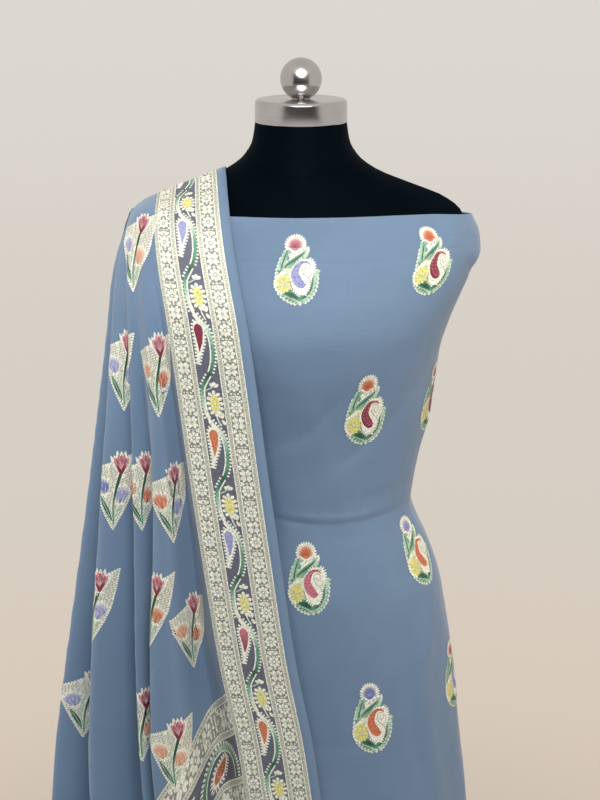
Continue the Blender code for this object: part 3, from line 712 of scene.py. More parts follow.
kameez = {
    "hem": 0.43,
    "top": 1.424,
    "thickness": 0.0007,
    "columns": 220,
    "rowHeight": 0.0066,
    "turnDepth": 0.046,  # the top edge is turned under by this much
    "halfTurn": 0.0009,
    "turnAngles": (20, 180, 7),  # rows round the turned edge, from and to in degrees
    "underRows": (0.12, 1, 8),  # rows of the part turned under, from and to as shares of its depth
    "lapAngle": 16.0,
    "lapRise": 0.0046,
    "lapStart": 0.78,
    "lapEnd": 0.92,
    "lapDip": 0.018,
    "sideDip": 0.011,
    "dipStart": 1.30,
    "waves": 8,
    "waveStart": 1.1,
    "waveDrift": 1.5,  # how much they wander round the piece in a metre of height
    "waveRise": 0.0060,
    "waveTop": 0.96,
    "waveFull": 0.51,
    "flat": (1.30, 1.05),
    # rows are closer together round these heights, by these steps
    "creaseRows": (1.3765, 1.0580, 1.0670, 1.4030, 1.3890),
    "creaseSteps": (-0.0036, -0.0018, 0.0, 0.0018, 0.0036),
    "creaseBow": 0.06,
    # side and height of one end, side and height of the other, depth outwards, half width
    "creases": (
        (0.014, 1.3778, 0.086, 1.3768, -0.0005, 0.0024),
        (0.092, 1.3790, 0.150, 1.3830, -0.0002, 0.0030),
        (0.146, 1.4020, 0.188, 1.4045, -0.0004, 0.0028),
        (0.146, 1.3895, 0.198, 1.3880, -0.0005, 0.0030),
        (-0.045, 1.066, 0.128, 1.060, -0.0011, 0.0036),
        (-0.030, 1.0725, 0.110, 1.0685, 0.0008, 0.0042),
        (0.010, 1.046, 0.115, 1.040, -0.0010, 0.0060),
        (0.060, 1.084, 0.135, 1.094, -0.0009, 0.0060),
        (-0.006, 1.158, 0.038, 1.218, -0.0022, 0.0060),
        (-0.036, 1.146, 0.002, 1.196, -0.0015, 0.0060),
        (0.036, 1.128, 0.090, 1.172, -0.0014, 0.0070),
        (0.090, 1.165, 0.146, 1.250, -0.0012, 0.0080),
        (0.152, 1.432, 0.186, 1.352, -0.0022, 0.0075),
        (0.172, 1.432, 0.201, 1.372, 0.0024, 0.0085),
        (0.186, 1.415, 0.212, 1.335, -0.0020, 0.0070),
        (0.120, 1.420, 0.160, 1.300, -0.0010, 0.0100),
        (0.140, 0.960, 0.160, 0.690, -0.0022, 0.0110),
        (0.164, 0.960, 0.183, 0.660, 0.0030, 0.0120),
        (0.030, 0.930, 0.062, 0.660, -0.0011, 0.0170),
        (0.104, 0.900, 0.120, 0.640, 0.0012, 0.0160),
        (-0.030, 0.780, 0.120, 0.768, -0.0007, 0.0070),
        (0.000, 0.640, 0.020, 0.450, 0.0020, 0.0160),
    ),
    "rippleRun": 0.93,  # metres of cloth to a turn, for the ripples alone
    # rise, waves a metre across and up the cloth, start
    "ripples": (
        (0.00022, 17, 6, 0.3), (0.00018, -11, 14, 1.9), (0.00015, 31, -9, 4.1), (0.00010, 47, 12, 2.2),
        (0.00008, -38, 33, 5.0), (0.00004, 92, 21, 0.8),
    ),
    "turnedEdge": (1.3765, -0.00020, 0.0024),  # where the turned hem ends: height, depth, half width
    # height, right, left, front, back, roundness
    "sections": (
        (0.430, 0.232, 0.228, 0.128, 0.138, 2.2),
        (0.550, 0.221, 0.218, 0.124, 0.136, 2.2),
        (0.650, 0.213, 0.210, 0.121, 0.134, 2.2),
        (0.760, 0.202, 0.200, 0.119, 0.131, 2.2),
        (0.850, 0.193, 0.192, 0.119, 0.130, 2.2),
        (0.940, 0.178, 0.178, 0.116, 0.125, 2.2),
        (1.000, 0.160, 0.160, 0.110, 0.113, 2.1),
        (1.030, 0.146, 0.147, 0.106, 0.105, 2.1),
        (1.054, 0.138, 0.140, 0.104, 0.098, 2.1),
        (1.110, 0.145, 0.145, 0.109, 0.100, 2.1),
        (1.160, 0.157, 0.150, 0.117, 0.103, 2.0),
        (1.210, 0.164, 0.156, 0.129, 0.107, 2.0),
        (1.250, 0.169, 0.164, 0.139, 0.110, 2.1),
        (1.285, 0.178, 0.175, 0.143, 0.110, 2.2),
        (1.320, 0.191, 0.189, 0.136, 0.107, 2.3),
        (1.350, 0.204, 0.200, 0.124, 0.103, 2.3),
        (1.380, 0.215, 0.2030, 0.112, 0.097, 2.2),
        (1.402, 0.213, 0.2025, 0.104, 0.092, 2.05),
        (1.424, 0.204, 0.1975, 0.097, 0.087, 1.8),
    ),
}


def waveDepth(height):
    return kameez["waveRise"] * ease((kameez["waveTop"] - height) / (kameez["waveTop"] - kameez["waveFull"]))


def creaseDepth(x, z):
    # soft troughs and ridges, fading towards their ends
    depth = 0 * x
    for x0, z0, x1, z1, rise, halfWidth in kameez["creases"]:
        length = math.hypot(x1 - x0, z1 - z0)
        at = ((x - x0) * (x1 - x0) + (z - z0) * (z1 - z0)) / length**2
        bow = kameez["creaseBow"] * length * np.sin(np.pi * np.clip(at, 0, 1))
        off = ((x - x0) * (z1 - z0) - (z - z0) * (x1 - x0)) / length - bow
        fade = ease((at + 0.15) / 0.45) * ease((1.15 - at) / 0.45)
        depth = depth + rise * fade * np.exp(-((off / halfWidth) ** 2))
    return depth


def rippleDepth(ripples, across, along):
    # the unevenness that hung cloth keeps
    depth = 0 * (across + along)
    for rise, acrossRate, alongRate, start in ripples:
        depth = depth + rise * np.sin(2 * np.pi * (acrossRate * across + alongRate * along) + start)
    return depth


def kameezPoints(turn, height, inset):
    right, left, front, back, roundness = allFromTable(kameez["sections"], height)
    angle = np.radians(90 - kameez["lapAngle"]) + turn * np.radians(360 + 2 * kameez["lapAngle"])
    halfWidth = np.where(np.cos(angle) > 0, right, left)
    x, y = levelPoint(angle, halfWidth, front, back, roundness)
    outward = np.stack([x / halfWidth**2, y / np.where(y < 0, front, back) ** 2], axis=-1)
    outward = outward / np.linalg.norm(outward, axis=-1, keepdims=True)
    lap = kameez["lapRise"] * ease((turn - kameez["lapStart"]) / (kameez["lapEnd"] - kameez["lapStart"]))
    aside = np.minimum(np.abs(np.cos(angle)) ** 1.5 + 0.9 * np.clip(np.sin(angle), 0, 1), 1)
    phase = kameez["waves"] * angle + kameez["waveStart"] + kameez["waveDrift"] * height
    off = lap + waveDepth(height) * aside * np.sin(phase) - inset + creaseDepth(x, height)
    off = off + rippleDepth(kameez["ripples"], kameez["rippleRun"] * turn, height)
    edge, depth, halfWidth = kameez["turnedEdge"]
    pressed = np.where(inset < kameez["halfTurn"], depth, 0.0)
    off = off + pressed * np.exp(-(((height - edge) / halfWidth) ** 2))
    dip = kameez["lapDip"] * np.clip(y / back, 0, 1) + kameez["sideDip"] * np.abs(np.cos(angle)) ** 6
    dip = dip * ease((height - kameez["dipStart"]) / (kameez["top"] - kameez["dipStart"]))
    return np.stack([x + outward[..., 0] * off, y + outward[..., 1] * off, height - dip], axis=-1)


def makeKameez(finish, threads):
    rows = int((kameez["top"] - kameez["hem"]) / kameez["rowHeight"])
    top = kameez["top"]
    halfTurn = kameez["halfTurn"]
    heights = list(np.linspace(kameez["hem"], top - halfTurn, rows))
    for middle in kameez["creaseRows"]:
        heights += [middle + step for step in kameez["creaseSteps"]]
    # height and inset of each row: up the outside, round the edge and down behind it
    path = [(height, 0.0) for height in sorted(heights)]
    outsideRows = len(path)
    for angle in np.radians(np.linspace(*kameez["turnAngles"])):
        path.append((top - halfTurn + halfTurn * math.sin(angle), halfTurn * (1 - math.cos(angle))))
    for share in np.linspace(*kameez["underRows"]):
        path.append((top - share * kameez["turnDepth"], 2 * halfTurn))
    turns = np.linspace(0, 1, kameez["columns"])[None, :]
    heights = np.array([height for height, inset in path])[:, None]
    insets = np.array([inset for height, inset in path])[:, None]
    points = kameezPoints(turns + 0 * heights, heights + 0 * turns, insets + 0 * turns)
    across = runAlong(points, 1)
    along = runAlong(points, 0)
    flat = np.stack([across, along], axis=-1)
    piece = addPiece("kameezCloth", wovenGrid(points, flat), finish)
    solidify(piece, kameez["thickness"])
    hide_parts("kameez")
    weave = makeKameezWeave(clothMap(points, across, along), outsideRows, threads)


# the dupatta: one sheet over the form's right shoulder, which is on the -X side

dupatta = {
    "thickness": 0.0007,
    "borderWidth": 0.092,
    "shoulderEnd": 1.418,
    "roundness": 2.7,
    "rest": 0.0024,  # least distance of its middle surface from the kameez's
    "sideSplit": 0.765,
    "frontOuterEdge": 0.90,
    "backOuterEdge": 0.88,
    "chestLevel": 1.28,
    "hemLevel": 0.70,
    "backFolds": 7,
    "backFoldOut": 0.014,
    "backFoldIn": 0.044,
    # how much the back's folds differ, and how fast that changes from fold to fold
    "backFoldShift": (0.25, 1.7),
    "backFoldUneven": (0.25, 2.3),
    "sectionSteps": 200,
    "borderColumns": 10,
    "foldColumns": 150,
    "rows": {"frontFlap": 36, "front": 98, "ridge": 15, "back": 70, "backFlap": 48},
    "flat": (0.74, 1.98),
    "shoulder": {"rows": 13, "passes": 40, "lift": 0.0012, "curve": 1.25, "search": (1.30, 1.50, 801)},
    "sideLap": (0.0016, 1.95, 0.05),  # how far, from which column place, and over how much of one
    "borderRipple": (0.35, 0.08, 0.03),  # the border's share of the ripples, where it ends, over what width
    "ripples": (
        (0.00020, 34, 2.1, 0.4), (0.00016, -23, 3.2, 2.0), (0.00012, 55, -2.6, 3.6), (0.00010, 71, 5.5, 1.1),
        (0.00005, -98, 9.0, 4.4),
    ),
    # height, inner edge, depth
    "frontFalls": (
        (0.300, 0.080, 0.150),
        (0.711, 0.025, 0.152),
        (0.784, 0.015, 0.152),
        (0.897, -0.006, 0.152),
        (1.028, -0.024, 0.152),
        (1.128, -0.037, 0.152),
        (1.266, -0.054, 0.150),
        (1.314, -0.061, 0.144),
        (1.345, -0.067, 0.134),
        (1.380, -0.074, 0.118),
        (1.415, -0.080, 0.104),
    ),
    "backFalls": (
        (0.100, -0.020, 0.160),
        (0.700, -0.040, 0.156),
        (0.900, -0.047, 0.148),
        (1.100, -0.055, 0.134),
        (1.250, -0.062, 0.125),
        (1.340, -0.070, 0.116),
        (1.380, -0.076, 0.106),
        (1.415, -0.081, 0.097),
    ),
    # cloth width, side, height of the ridge on the shoulder
    "shoulderLine": (
        (0.000, -0.090, 1.4690),
        (0.046, -0.131, 1.4525),
        (0.092, -0.170, 1.4375),
        (0.115, -0.188, 1.4285),
        (0.132, -0.1985, 1.418),
    ),
    # height, side
    "sideOutline": (
        (0.150, 0.390),
        (0.620, 0.322),
        (0.770, 0.301),
        (0.926, 0.277),
        (1.064, 0.257),
        (1.190, 0.241),
        (1.274, 0.231),
        (1.339, 0.2245),
        (1.371, 0.218),
        (1.399, 0.207),
        (1.418, 0.1985),
    ),
    # share of the base line at chest level, at hem level, and how far out at the hem
    "frontFolds": (
        (0.000, 0.000, 0.000),
        (0.060, 0.110, -0.034),
        (0.120, 0.240, 0.006),
        (0.170, 0.350, 0.008),
        (0.200, 0.358, -0.006),
        (0.230, 0.280, -0.018),
        (0.260, 0.268, -0.029),
        (0.290, 0.345, -0.031),
        (0.350, 0.420, -0.006),
        (0.430, 0.480, -0.038),
        (0.580, 0.620, 0.010),
        (0.710, 0.770, -0.044),
        (0.820, 0.860, 0.014),
        (0.910, 0.940, -0.044),
        (1.000, 1.000, 0.000),
    ),
    # height, share of the folds' depth on the front, on the back
    "foldGrowth": (
        (0.200, 1.20, 1.25),
        (0.700, 1.05, 1.10),
        (0.850, 0.92, 1.00),
        (1.000, 0.74, 0.86),
        (1.150, 0.48, 0.66),
        (1.280, 0.22, 0.36),
        (1.370, 0.06, 0.08),
        (1.418, 0.00, 0.00),
    ),
    # share of the base line, height of the front hem, of the back hem
    "hems": (
        (0.00, 0.668, 0.330),
        (0.50, 0.655, 0.290),
        (0.54, 0.630, 0.280),
        (0.57, 0.578, 0.272),
        (0.61, 0.520, 0.260),
        (0.75, 0.450, 0.220),
        (1.00, 0.370, 0.150),
    ),
}


def clearOfKameez(x, y, height):
    right, left, front, back, roundness = allFromTable(kameez["sections"], height)
    clear = dupatta["rest"] + waveDepth(height)
    halfWidth = np.where(x > 0, right, left) + clear
    depth = np.where(y < 0, front, back + kameez["lapRise"]) + clear
    reach = (np.abs(x) / halfWidth) ** roundness + (np.abs(y) / depth) ** roundness
    push = np.maximum(1.0, np.maximum(reach, 1e-9) ** (-1 / roundness))
    push = np.where(height < kameez["top"], push, 1.0)
    return x * push, y * push


def roundedThrough(known, at):
    # along evenly spaced known points, one set of them for each place
    tangents = np.gradient(known, axis=1)
    i = np.clip(np.ceil(at).astype(int) - 1, 0, known.shape[1] - 2)
    rows = np.arange(len(at))
    return cubic(known[rows, i], known[rows, i + 1], tangents[rows, i], tangents[rows, i + 1], at - i)


def foldNodes(front, height):
    low = ease((dupatta["chestLevel"] - height) / (dupatta["chestLevel"] - dupatta["hemLevel"]))[:, None]
    if front:
        folds = np.array(dupatta["frontFolds"])
        along = folds[:, 0] + low * (folds[:, 1] - folds[:, 0])
        return along, folds[:, 2] + 0 * along
    index = np.arange(2 * dupatta["backFolds"] + 1)
    inner = (index > 0) & (index < index[-1])
    shift, rate = dupatta["backFoldShift"]
    along = (index + inner * shift * low * np.sin(rate * index)) / index[-1]
    share, rate = dupatta["backFoldUneven"]
    uneven = 1 - share + share * np.sin(rate * index)
    out = np.where(index % 2 == 0, dupatta["backFoldOut"], -dupatta["backFoldIn"]) * uneven * inner
    return along, out + 0 * along


def drapeRow(front, columns, height, reach):
    # one row of the sheet's front or back; height may differ from column to column
    falls = dupatta["frontFalls"] if front else dupatta["backFalls"]
    sign = -1 if front else 1
    inner = fromTable(falls, 1, height)
    depth = fromTable(falls, 2, height)
    side = fromTable(dupatta["sideOutline"], 1, height)
    turn = np.pi / 2 * ease(np.linspace(0, 1, dupatta["sectionSteps"]))
    power = 2 / dupatta["roundness"]
    lineX = inner[:, None] - (side + inner)[:, None] * np.sin(turn) ** power
    lineY = sign * depth[:, None] * np.cos(turn) ** power
    steps = np.hypot(np.diff(lineX, axis=1), np.diff(lineY, axis=1))
    at = np.concatenate([np.zeros((len(steps), 1)), np.cumsum(steps, axis=1)], axis=1)
    width = dupatta["borderWidth"]
    index = np.clip(columns - 1, 0, None) * 2 * dupatta["backFolds"]
    nodesAlong, nodesOut = foldNodes(front, height)
    share = roundedThrough(nodesAlong, index)
    growth = fromTable(dupatta["foldGrowth"], 1 if front else 2, height)
    beyond = columns > 1
    along = np.where(beyond, width + reach * share * (at[:, -1] - width), width * columns)
    out = np.where(beyond, growth * roundedThrough(nodesOut, index), 0.0)
    i = np.clip((at < along[:, None]).sum(axis=1) - 1, 0, at.shape[1] - 2)
    rows = np.arange(len(at))
    part = (along - at[rows, i]) / np.maximum(at[rows, i + 1] - at[rows, i], 1e-12)
    bend = turn[i] + np.clip(part, 0, 1) * (turn[i + 1] - turn[i])
    x = inner - (side + inner) * np.sin(bend) ** power
    y = sign * depth * np.maximum(np.cos(bend), 0) ** power
    towardX = -(side + inner) * np.maximum(np.cos(bend), 0) ** (2 - power)
    towardY = -sign * depth * np.sin(bend) ** (2 - power)
    size = np.hypot(towardX, towardY)
    x = x + sign * out * towardY / size
    y = y - sign * out * towardX / size
    x, y = clearOfKameez(x, y, height)
    return np.stack([x, y, height], axis=1)


def torsoTop(x, y):
    # height of the form's shoulders over a point
    heights = np.linspace(*dupatta["shoulder"]["search"])
    halfWidth, front, back, roundness = allFromTable(torso["sections"], heights)
    x = np.abs(x)[:, None]
    y = y[:, None]
    depth = np.where(y < 0, front, back)
    reach = (x / halfWidth) ** roundness + (np.abs(y) / depth) ** roundness
    inside = reach <= 1
    top = heights[0] + (heights[1] - heights[0]) * inside.sum(axis=1)
    return np.where(inside.any(axis=1), top, heights[0])


def flapRows(front):
    return dupatta["rows"]["frontFlap" if front else "backFlap"]


def sheetHalf(front, columns):
    # from the hem up to the ridge on the shoulder, the ridge itself left out on the back
    rows = dupatta["rows"]
    split = dupatta["sideSplit"]
    outerEdge = dupatta["frontOuterEdge"] if front else dupatta["backOuterEdge"]
    hem = fromTable(dupatta["hems"], 1 if front else 2, columns / 2)
    flaps = flapRows(front)
    made = []
    for r in range(flaps):
        down = 1 - r / flaps
        made.append(drapeRow(front, columns, split - down * (split - hem), 1 - (1 - outerEdge) * down))
    for height in np.linspace(split, dupatta["shoulderEnd"], rows["front"] if front else rows["back"]):
        made.append(drapeRow(front, columns, height + 0 * columns, 1.0))
    edge = made[-1]
    line = dupatta["shoulderLine"]
    cloth = np.interp(columns, (0, 1, 2), (0, dupatta["borderWidth"], line[-1][0]))
    ridgeX = fromTable(line, 1, cloth)
    ridgeZ = fromTable(line, 2, cloth)
    for share in np.linspace(1, 0, rows["ridge"] + 1)[1:]:
        if share == 0 and not front:
            continue
        x = edge[:, 0] * share + ridgeX * (1 - share)
        y = edge[:, 1] * share
        climb = 1 - share ** dupatta["shoulder"]["curve"]
        z = dupatta["shoulderEnd"] + (ridgeZ - dupatta["shoulderEnd"]) * climb
        z = np.maximum(z, torsoTop(x, y) + dupatta["rest"])
        z[-1] = dupatta["shoulderEnd"]
        made.append(np.stack([x, y, z], axis=1))
    return np.array(made)


def roundShoulder(points):
    # rows near the shoulder are evened out, because the ridge and the falls meet at an angle
    settle = dupatta["shoulder"]
    first = dupatta["rows"]["frontFlap"] + dupatta["rows"]["front"]
    last = first + 2 * dupatta["rows"]["ridge"]
    index = np.arange(len(points))
    near = np.minimum(np.abs(index - first), np.abs(index - last))
    share = ease(1 - near / settle["rows"])[:, None, None]
    for _ in range(settle["passes"]):
        even = points.copy()
        even[1:-1] = (points[:-2] + 2 * points[1:-1] + points[2:]) / 4
        points = points + share * (even - points)
    return points - settle["lift"] * share * gridNormals(points)


def makeDupatta(finish, threads):
    border = np.linspace(0, 1, dupatta["borderColumns"] + 1)
    rest = np.linspace(1, 2, dupatta["foldColumns"] + 1)[1:]
    columns = np.concatenate([border, rest])
    front = sheetHalf(True, columns)
    back = sheetHalf(False, columns)
    # the back's outer edge laps over the front's at the side
    lap, start, over = dupatta["sideLap"]
    back[..., 0] -= lap * ease((columns - start) / over)
    points = roundShoulder(np.concatenate([front, back[::-1]]))
    across = runAlong(points, 1)
    along = runAlong(points, 0)
    share, start, over = dupatta["borderRipple"]
    calm = share + (1 - share) * ease((across - start) / over)
    uneven = rippleDepth(dupatta["ripples"], across, along) * calm
    points = points + uneven[..., None] * gridNormals(points)
    flat = np.stack([across, along], axis=-1)
    piece = addPiece("dupattaCloth", wovenGrid(points, flat, turnOver=True), finish)
    solidify(piece, dupatta["thickness"])
    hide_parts("dupatta")
    weave = makeDupattaWeave(clothMap(points, across, along, facing=-1), threads)


# woven motifs: flat patches of thread drawn in millimetres, then laid on the cloth

threadColours = {
    "cream": (0.90, 0.89, 0.75),
    "zari": (0.68, 0.68, 0.56),
    "hatch": (0.50, 0.49, 0.40),
    "ground": (0.250, 0.250, 0.210),
    "bandGround": (0.31, 0.305, 0.25),
    "vineGround": (0.120, 0.125, 0.165),
    "yellow": (0.74, 0.69, 0.20),
    "paleYellow": (0.80, 0.76, 0.42),
    "peach": (0.74, 0.36, 0.22),
    "orange": (0.62, 0.19, 0.085),
    "rust": (0.40, 0.090, 0.040),
    "maroon": (0.215, 0.026, 0.050),
    "pink": (0.58, 0.20, 0.25),
    "lilac": (0.33, 0.33, 0.56),
    "blue": (0.13, 0.17, 0.40),
    "darkGreen": (0.018, 0.080, 0.045),
    "green": (0.110, 0.30, 0.190),
    "paleGreen": (0.45, 0.64, 0.47),
}
deeperThread = {"pink": "maroon", "orange": "rust", "lilac": "blue", "blue": "lilac", "maroon": "pink",
                "peach": "orange"}
metalThreads = {"cream": 0.10, "zari": 0.22, "hatch": 0.15}
motifGrid = 3.2  # longest side of a patch's faces, in mm


def startMotif():
    made = bmesh.new()
    made.verts.layers.float_color.new("threadColour")
    made.verts.layers.float.new("metalThread")
    return made


def ruled(made, left, right, colours, level):
    # thread between two lines with as many points each; colours is a name, or names along them
    across = max(1, math.ceil(np.linalg.norm(right - left, axis=1).max() / motifGrid))
    share = np.linspace(0, 1, across + 1)[None, :, None]
    places = (left[:, None] * (1 - share) + right[:, None] * share).reshape(-1, 2)
    if isinstance(colours, str):
        colours = (colours,)
    run = runAlong((left + right) / 2, 0)
    at = run / run[-1] * (len(colours) - 1)
    known = np.array([threadColours[name] for name in colours])
    shine = np.interp(at, np.arange(len(colours)), [metalThreads.get(name, 0.0) for name in colours])
    tints = np.stack([np.interp(at, np.arange(len(colours)), known[:, k]) for k in range(3)], axis=1)
    colourLayer = made.verts.layers.float_color["threadColour"]
    metalLayer = made.verts.layers.float["metalThread"]
    new = bmesh.ops.create_grid(made, x_segments=across, y_segments=len(left) - 1, size=1)["verts"]
    for i, vert in enumerate(new):
        row = i // (across + 1)
        vert.co = (places[i, 0], places[i, 1], level)
        vert[colourLayer] = (*tints[row], 1.0)
        vert[metalLayer] = shine[row]


def sidesOf(path, widths):
    # the two lines this far either side of a path, its left first
    toward = np.gradient(path, axis=0)
    toward /= np.maximum(np.linalg.norm(toward, axis=1, keepdims=True), 1e-9)
    aside = np.stack([toward[:, 1], -toward[:, 0]], axis=1) * np.asarray(widths)[..., None]
    return path - aside, path + aside


def patch(made, path, widths, colours, level):
    # a strip of thread along a path, widths either side of it
    path = np.asarray(path, float)
    widths = np.broadcast_to(np.asarray(widths, float), len(path))
    run = runAlong(path, 0)
    if np.diff(run).max() > 1.5 * motifGrid:
        at = np.linspace(0, run[-1], math.ceil(run[-1] / motifGrid) + 1)
        widths = np.interp(at, run, widths)
        path = np.stack([np.interp(at, run, path[:, k]) for k in (0, 1)], axis=1)
    ruled(made, *sidesOf(path, widths), colours, level)


def atShares(points, shares):
    # places on a path at these shares of its length
    points = np.asarray(points, float)
    run = runAlong(points, 0)
    return np.stack([np.interp(shares * run[-1], run, points[:, k]) for k in (0, 1)], axis=1)


def curved(points, count):
    # a smooth path of this many points through these few
    points = np.asarray(points, float)
    at = np.linspace(0, len(points) - 1, count)
    sides = [roundedThrough(np.tile(points[:, k], (count, 1)), at) for k in (0, 1)]
    return np.stack(sides, axis=1)


def widthsAlong(count, shares, widths):
    return np.interp(np.linspace(0, 1, count), shares, widths)


def disc(made, x, y, halfWidth, halfHeight, colours, level, rows=6):
    rows = max(rows, math.ceil(2 * halfHeight / motifGrid))
    angle = np.linspace(-np.pi / 2, np.pi / 2, rows + 1)
    path = np.stack([x + 0 * angle, y + halfHeight * np.sin(angle)], axis=1)
    patch(made, path, np.maximum(halfWidth * np.cos(angle), 0.05), colours, level)


def petal(made, x, y, direction, length, width, colours, level, rows=4, tip=0.2):
    # direction in degrees from straight up, clockwise
    lean = math.radians(direction)
    share = np.linspace(0, 1, rows + 1)
    path = np.stack([x + share * length * math.sin(lean), y + share * length * math.cos(lean)], axis=1)
    shape = np.interp(share, (0, 0.3, 0.65, 0.88, 1), (0.35, 0.85, 1.0, 0.75, tip))
    patch(made, path, width / 2 * shape, colours, level)


def petalRing(made, x, y, halfWidth, halfHeight, count, length, width, colours, level,
              first=0.0, rows=3, sweep=360):
    # petals pointing outwards from an ellipse
    steps = count if sweep == 360 else count - 1
    for k in range(count):
        turn = math.radians(first + sweep * k / steps)
        px, py = x + halfWidth * math.sin(turn), y + halfHeight * math.cos(turn)
        direction = math.degrees(math.atan2(math.sin(turn) / halfWidth, math.cos(turn) / halfHeight))
        petal(made, px, py, direction, length, width, colours, level, rows)


def teeth(made, path, side, pitch, length, width, colours, level, rows=2, slant=0.0):
    # short petals along one side of a path: +1 is its right
    path = np.asarray(path, float)
    run = runAlong(path, 0)
    for at in np.arange(pitch / 2, run[-1], pitch):
        x, y = (np.interp(at, run, path[:, k]) for k in (0, 1))
        dx, dy = (np.interp(at, run, np.gradient(path[:, k], run)) for k in (0, 1))
        direction = math.degrees(math.atan2(side * dy, -side * dx)) + slant
        petal(made, x, y, direction, length, width, colours, level, rows, 0.45)


# the borders' strips: one repeat of each, running up from the origin

stripShapes = {
    "jaal": {"repeat": 60.0, "width": 15.8},
    "beads": {"repeat": 60.0, "width": 6.4, "pitch": 3.0},
    "vine": {"repeat": 122.0, "width": 26.2},
    "arch": {"repeat": 122.0, "width": 57.0},
}


def startStrip(kind, ground):
    made = startMotif()
    patch(made, [(0, 0), (0, stripShapes[kind]["repeat"])], stripShapes[kind]["width"] / 2, ground, 0)
    return made


def jaalMotif(ground="ground"):
    # a lattice of small flowers: two round ones, and a larger one of eight petals between them
    made = startStrip("jaal", ground)
    for y in (9, 44):
        petalRing(made, 0, y, 2.9, 2.9, 8, 4.4, 3.9, "cream", 1)
        disc(made, 0, y, 3.4, 3.4, "cream", 1)
        disc(made, 0, y, 2.5, 2.5, "ground", 2)
        disc(made, 0, y, 1.5, 1.5, "cream", 3, rows=4)
        for x in (-6.5, 6.5):
            for rise in (-6.9, 6.9):
                disc(made, x, y + rise, 1.25, 1.7, "cream", 1, rows=4)
    for first in (45, 135, 225, 315):
        for spread in (-15, 15):
            petal(made, 0, 26.5, first + spread, 8.2, 3.7, "cream", 1)
    for direction in (0, 90, 180, 270):
        petal(made, 0, 26.5, direction, 5.4, 1.7, "zari", 1, rows=3)
    disc(made, 0, 26.5, 1.5, 1.5, "ground", 2, rows=4)
    disc(made, 0, 26.5, 0.7, 0.7, "cream", 3, rows=4)
    for y in (17.7, 35.4, 50.8, 59.4):
        disc(made, 0, y, 2.0, 1.1, "zari", 1, rows=4)
        for x in (-4.0, 4.0):
            disc(made, x, y, 1.1, 1.0, "cream", 1, rows=4)
    for side in (-1, 1):
        petal(made, side * 0.8, 52.6, side * 55, 7.0, 3.4, "cream", 1)
        petal(made, side * 0.8, 57.0, side * 118, 6.4, 3.2, "cream", 1)
        petal(made, side * 7.0, 33.5, side * -40, 5.2, 2.6, "cream", 1)
        petal(made, side * 7.0, 19.6, side * -140, 5.2, 2.6, "cream", 1)
    petal(made, 0, 53.6, 0, 4.6, 2.6, "zari", 1)
    return keepMesh("jaal", made)


def beadMotif():
    # a narrow strip of dark beads between lines
    made = startStrip("beads", "zari")
    repeat = stripShapes["beads"]["repeat"]
    pitch = stripShapes["beads"]["pitch"]
    for out, width, name in ((2.6, 0.5, "cream"), (1.55, 0.22, "hatch")):
        for x in (-out, out):
            patch(made, [(x, 0), (x, repeat)], width, name, 1)
    for y in np.arange(pitch / 2, repeat, pitch):
        patch(made, [(0, y - 0.62), (0, y + 0.62)], 0.66, "ground", 2)
    return keepMesh("beads", made)


vineShape = {
    "flower": 104.0,  # height of the flower's centre in the repeat; the paths are measured from it
    "stem": ((-8.8, 18), (-9.8, 8), (-9.6, -6), (-7.2, -16), (-1, -26), (5.6, -34), (8.6, -46), (9.2, -58),
             (7.6, -72), (3, -85), (-4, -96), (-8.8, -104)),
    "stemPoints": 60,
    "stemWidths": ((0, .2, .3, .5, .75, 1), (1.9, 1.7, 1.6, 2.2, 2.1, 1.9)),
    "stemColours": ("green", "paleGreen", "cream", "cream", "paleGreen", "green", "green", "darkGreen",
                    "green"),
    "crossings": (18, 50),  # points of the stem where it crosses the strip
    "drop": ((-4.8, -27.5), (-3.5, -37), (-4.0, -50), (-6.6, -64), (-9.6, -77)),
    "dropWidths": ((0, 0.06, 0.25, 0.5, 0.78, 1), (1.0, 4.4, 6.7, 5.6, 2.3, 1.2)),
    "heart": ((-4.2, -31), (-3.6, -38), (-4.0, -50), (-5.8, -62)),
    "heartWidths": ((0, 0.12, 0.35, 0.65, 1), (0.8, 4.1, 5.2, 3.4, 0.4)),
}


def toothedDrop(made, path, widths, inset, length, width, rows=2, slant=0):
    # a pale drop with teeth down both sides
    patch(made, path, widths, "cream", 1)
    for side, edge in zip((-1, 1), sidesOf(path, widths - inset)):
        teeth(made, edge, side, 4.0, length, width, "cream", 1, rows, side * slant)


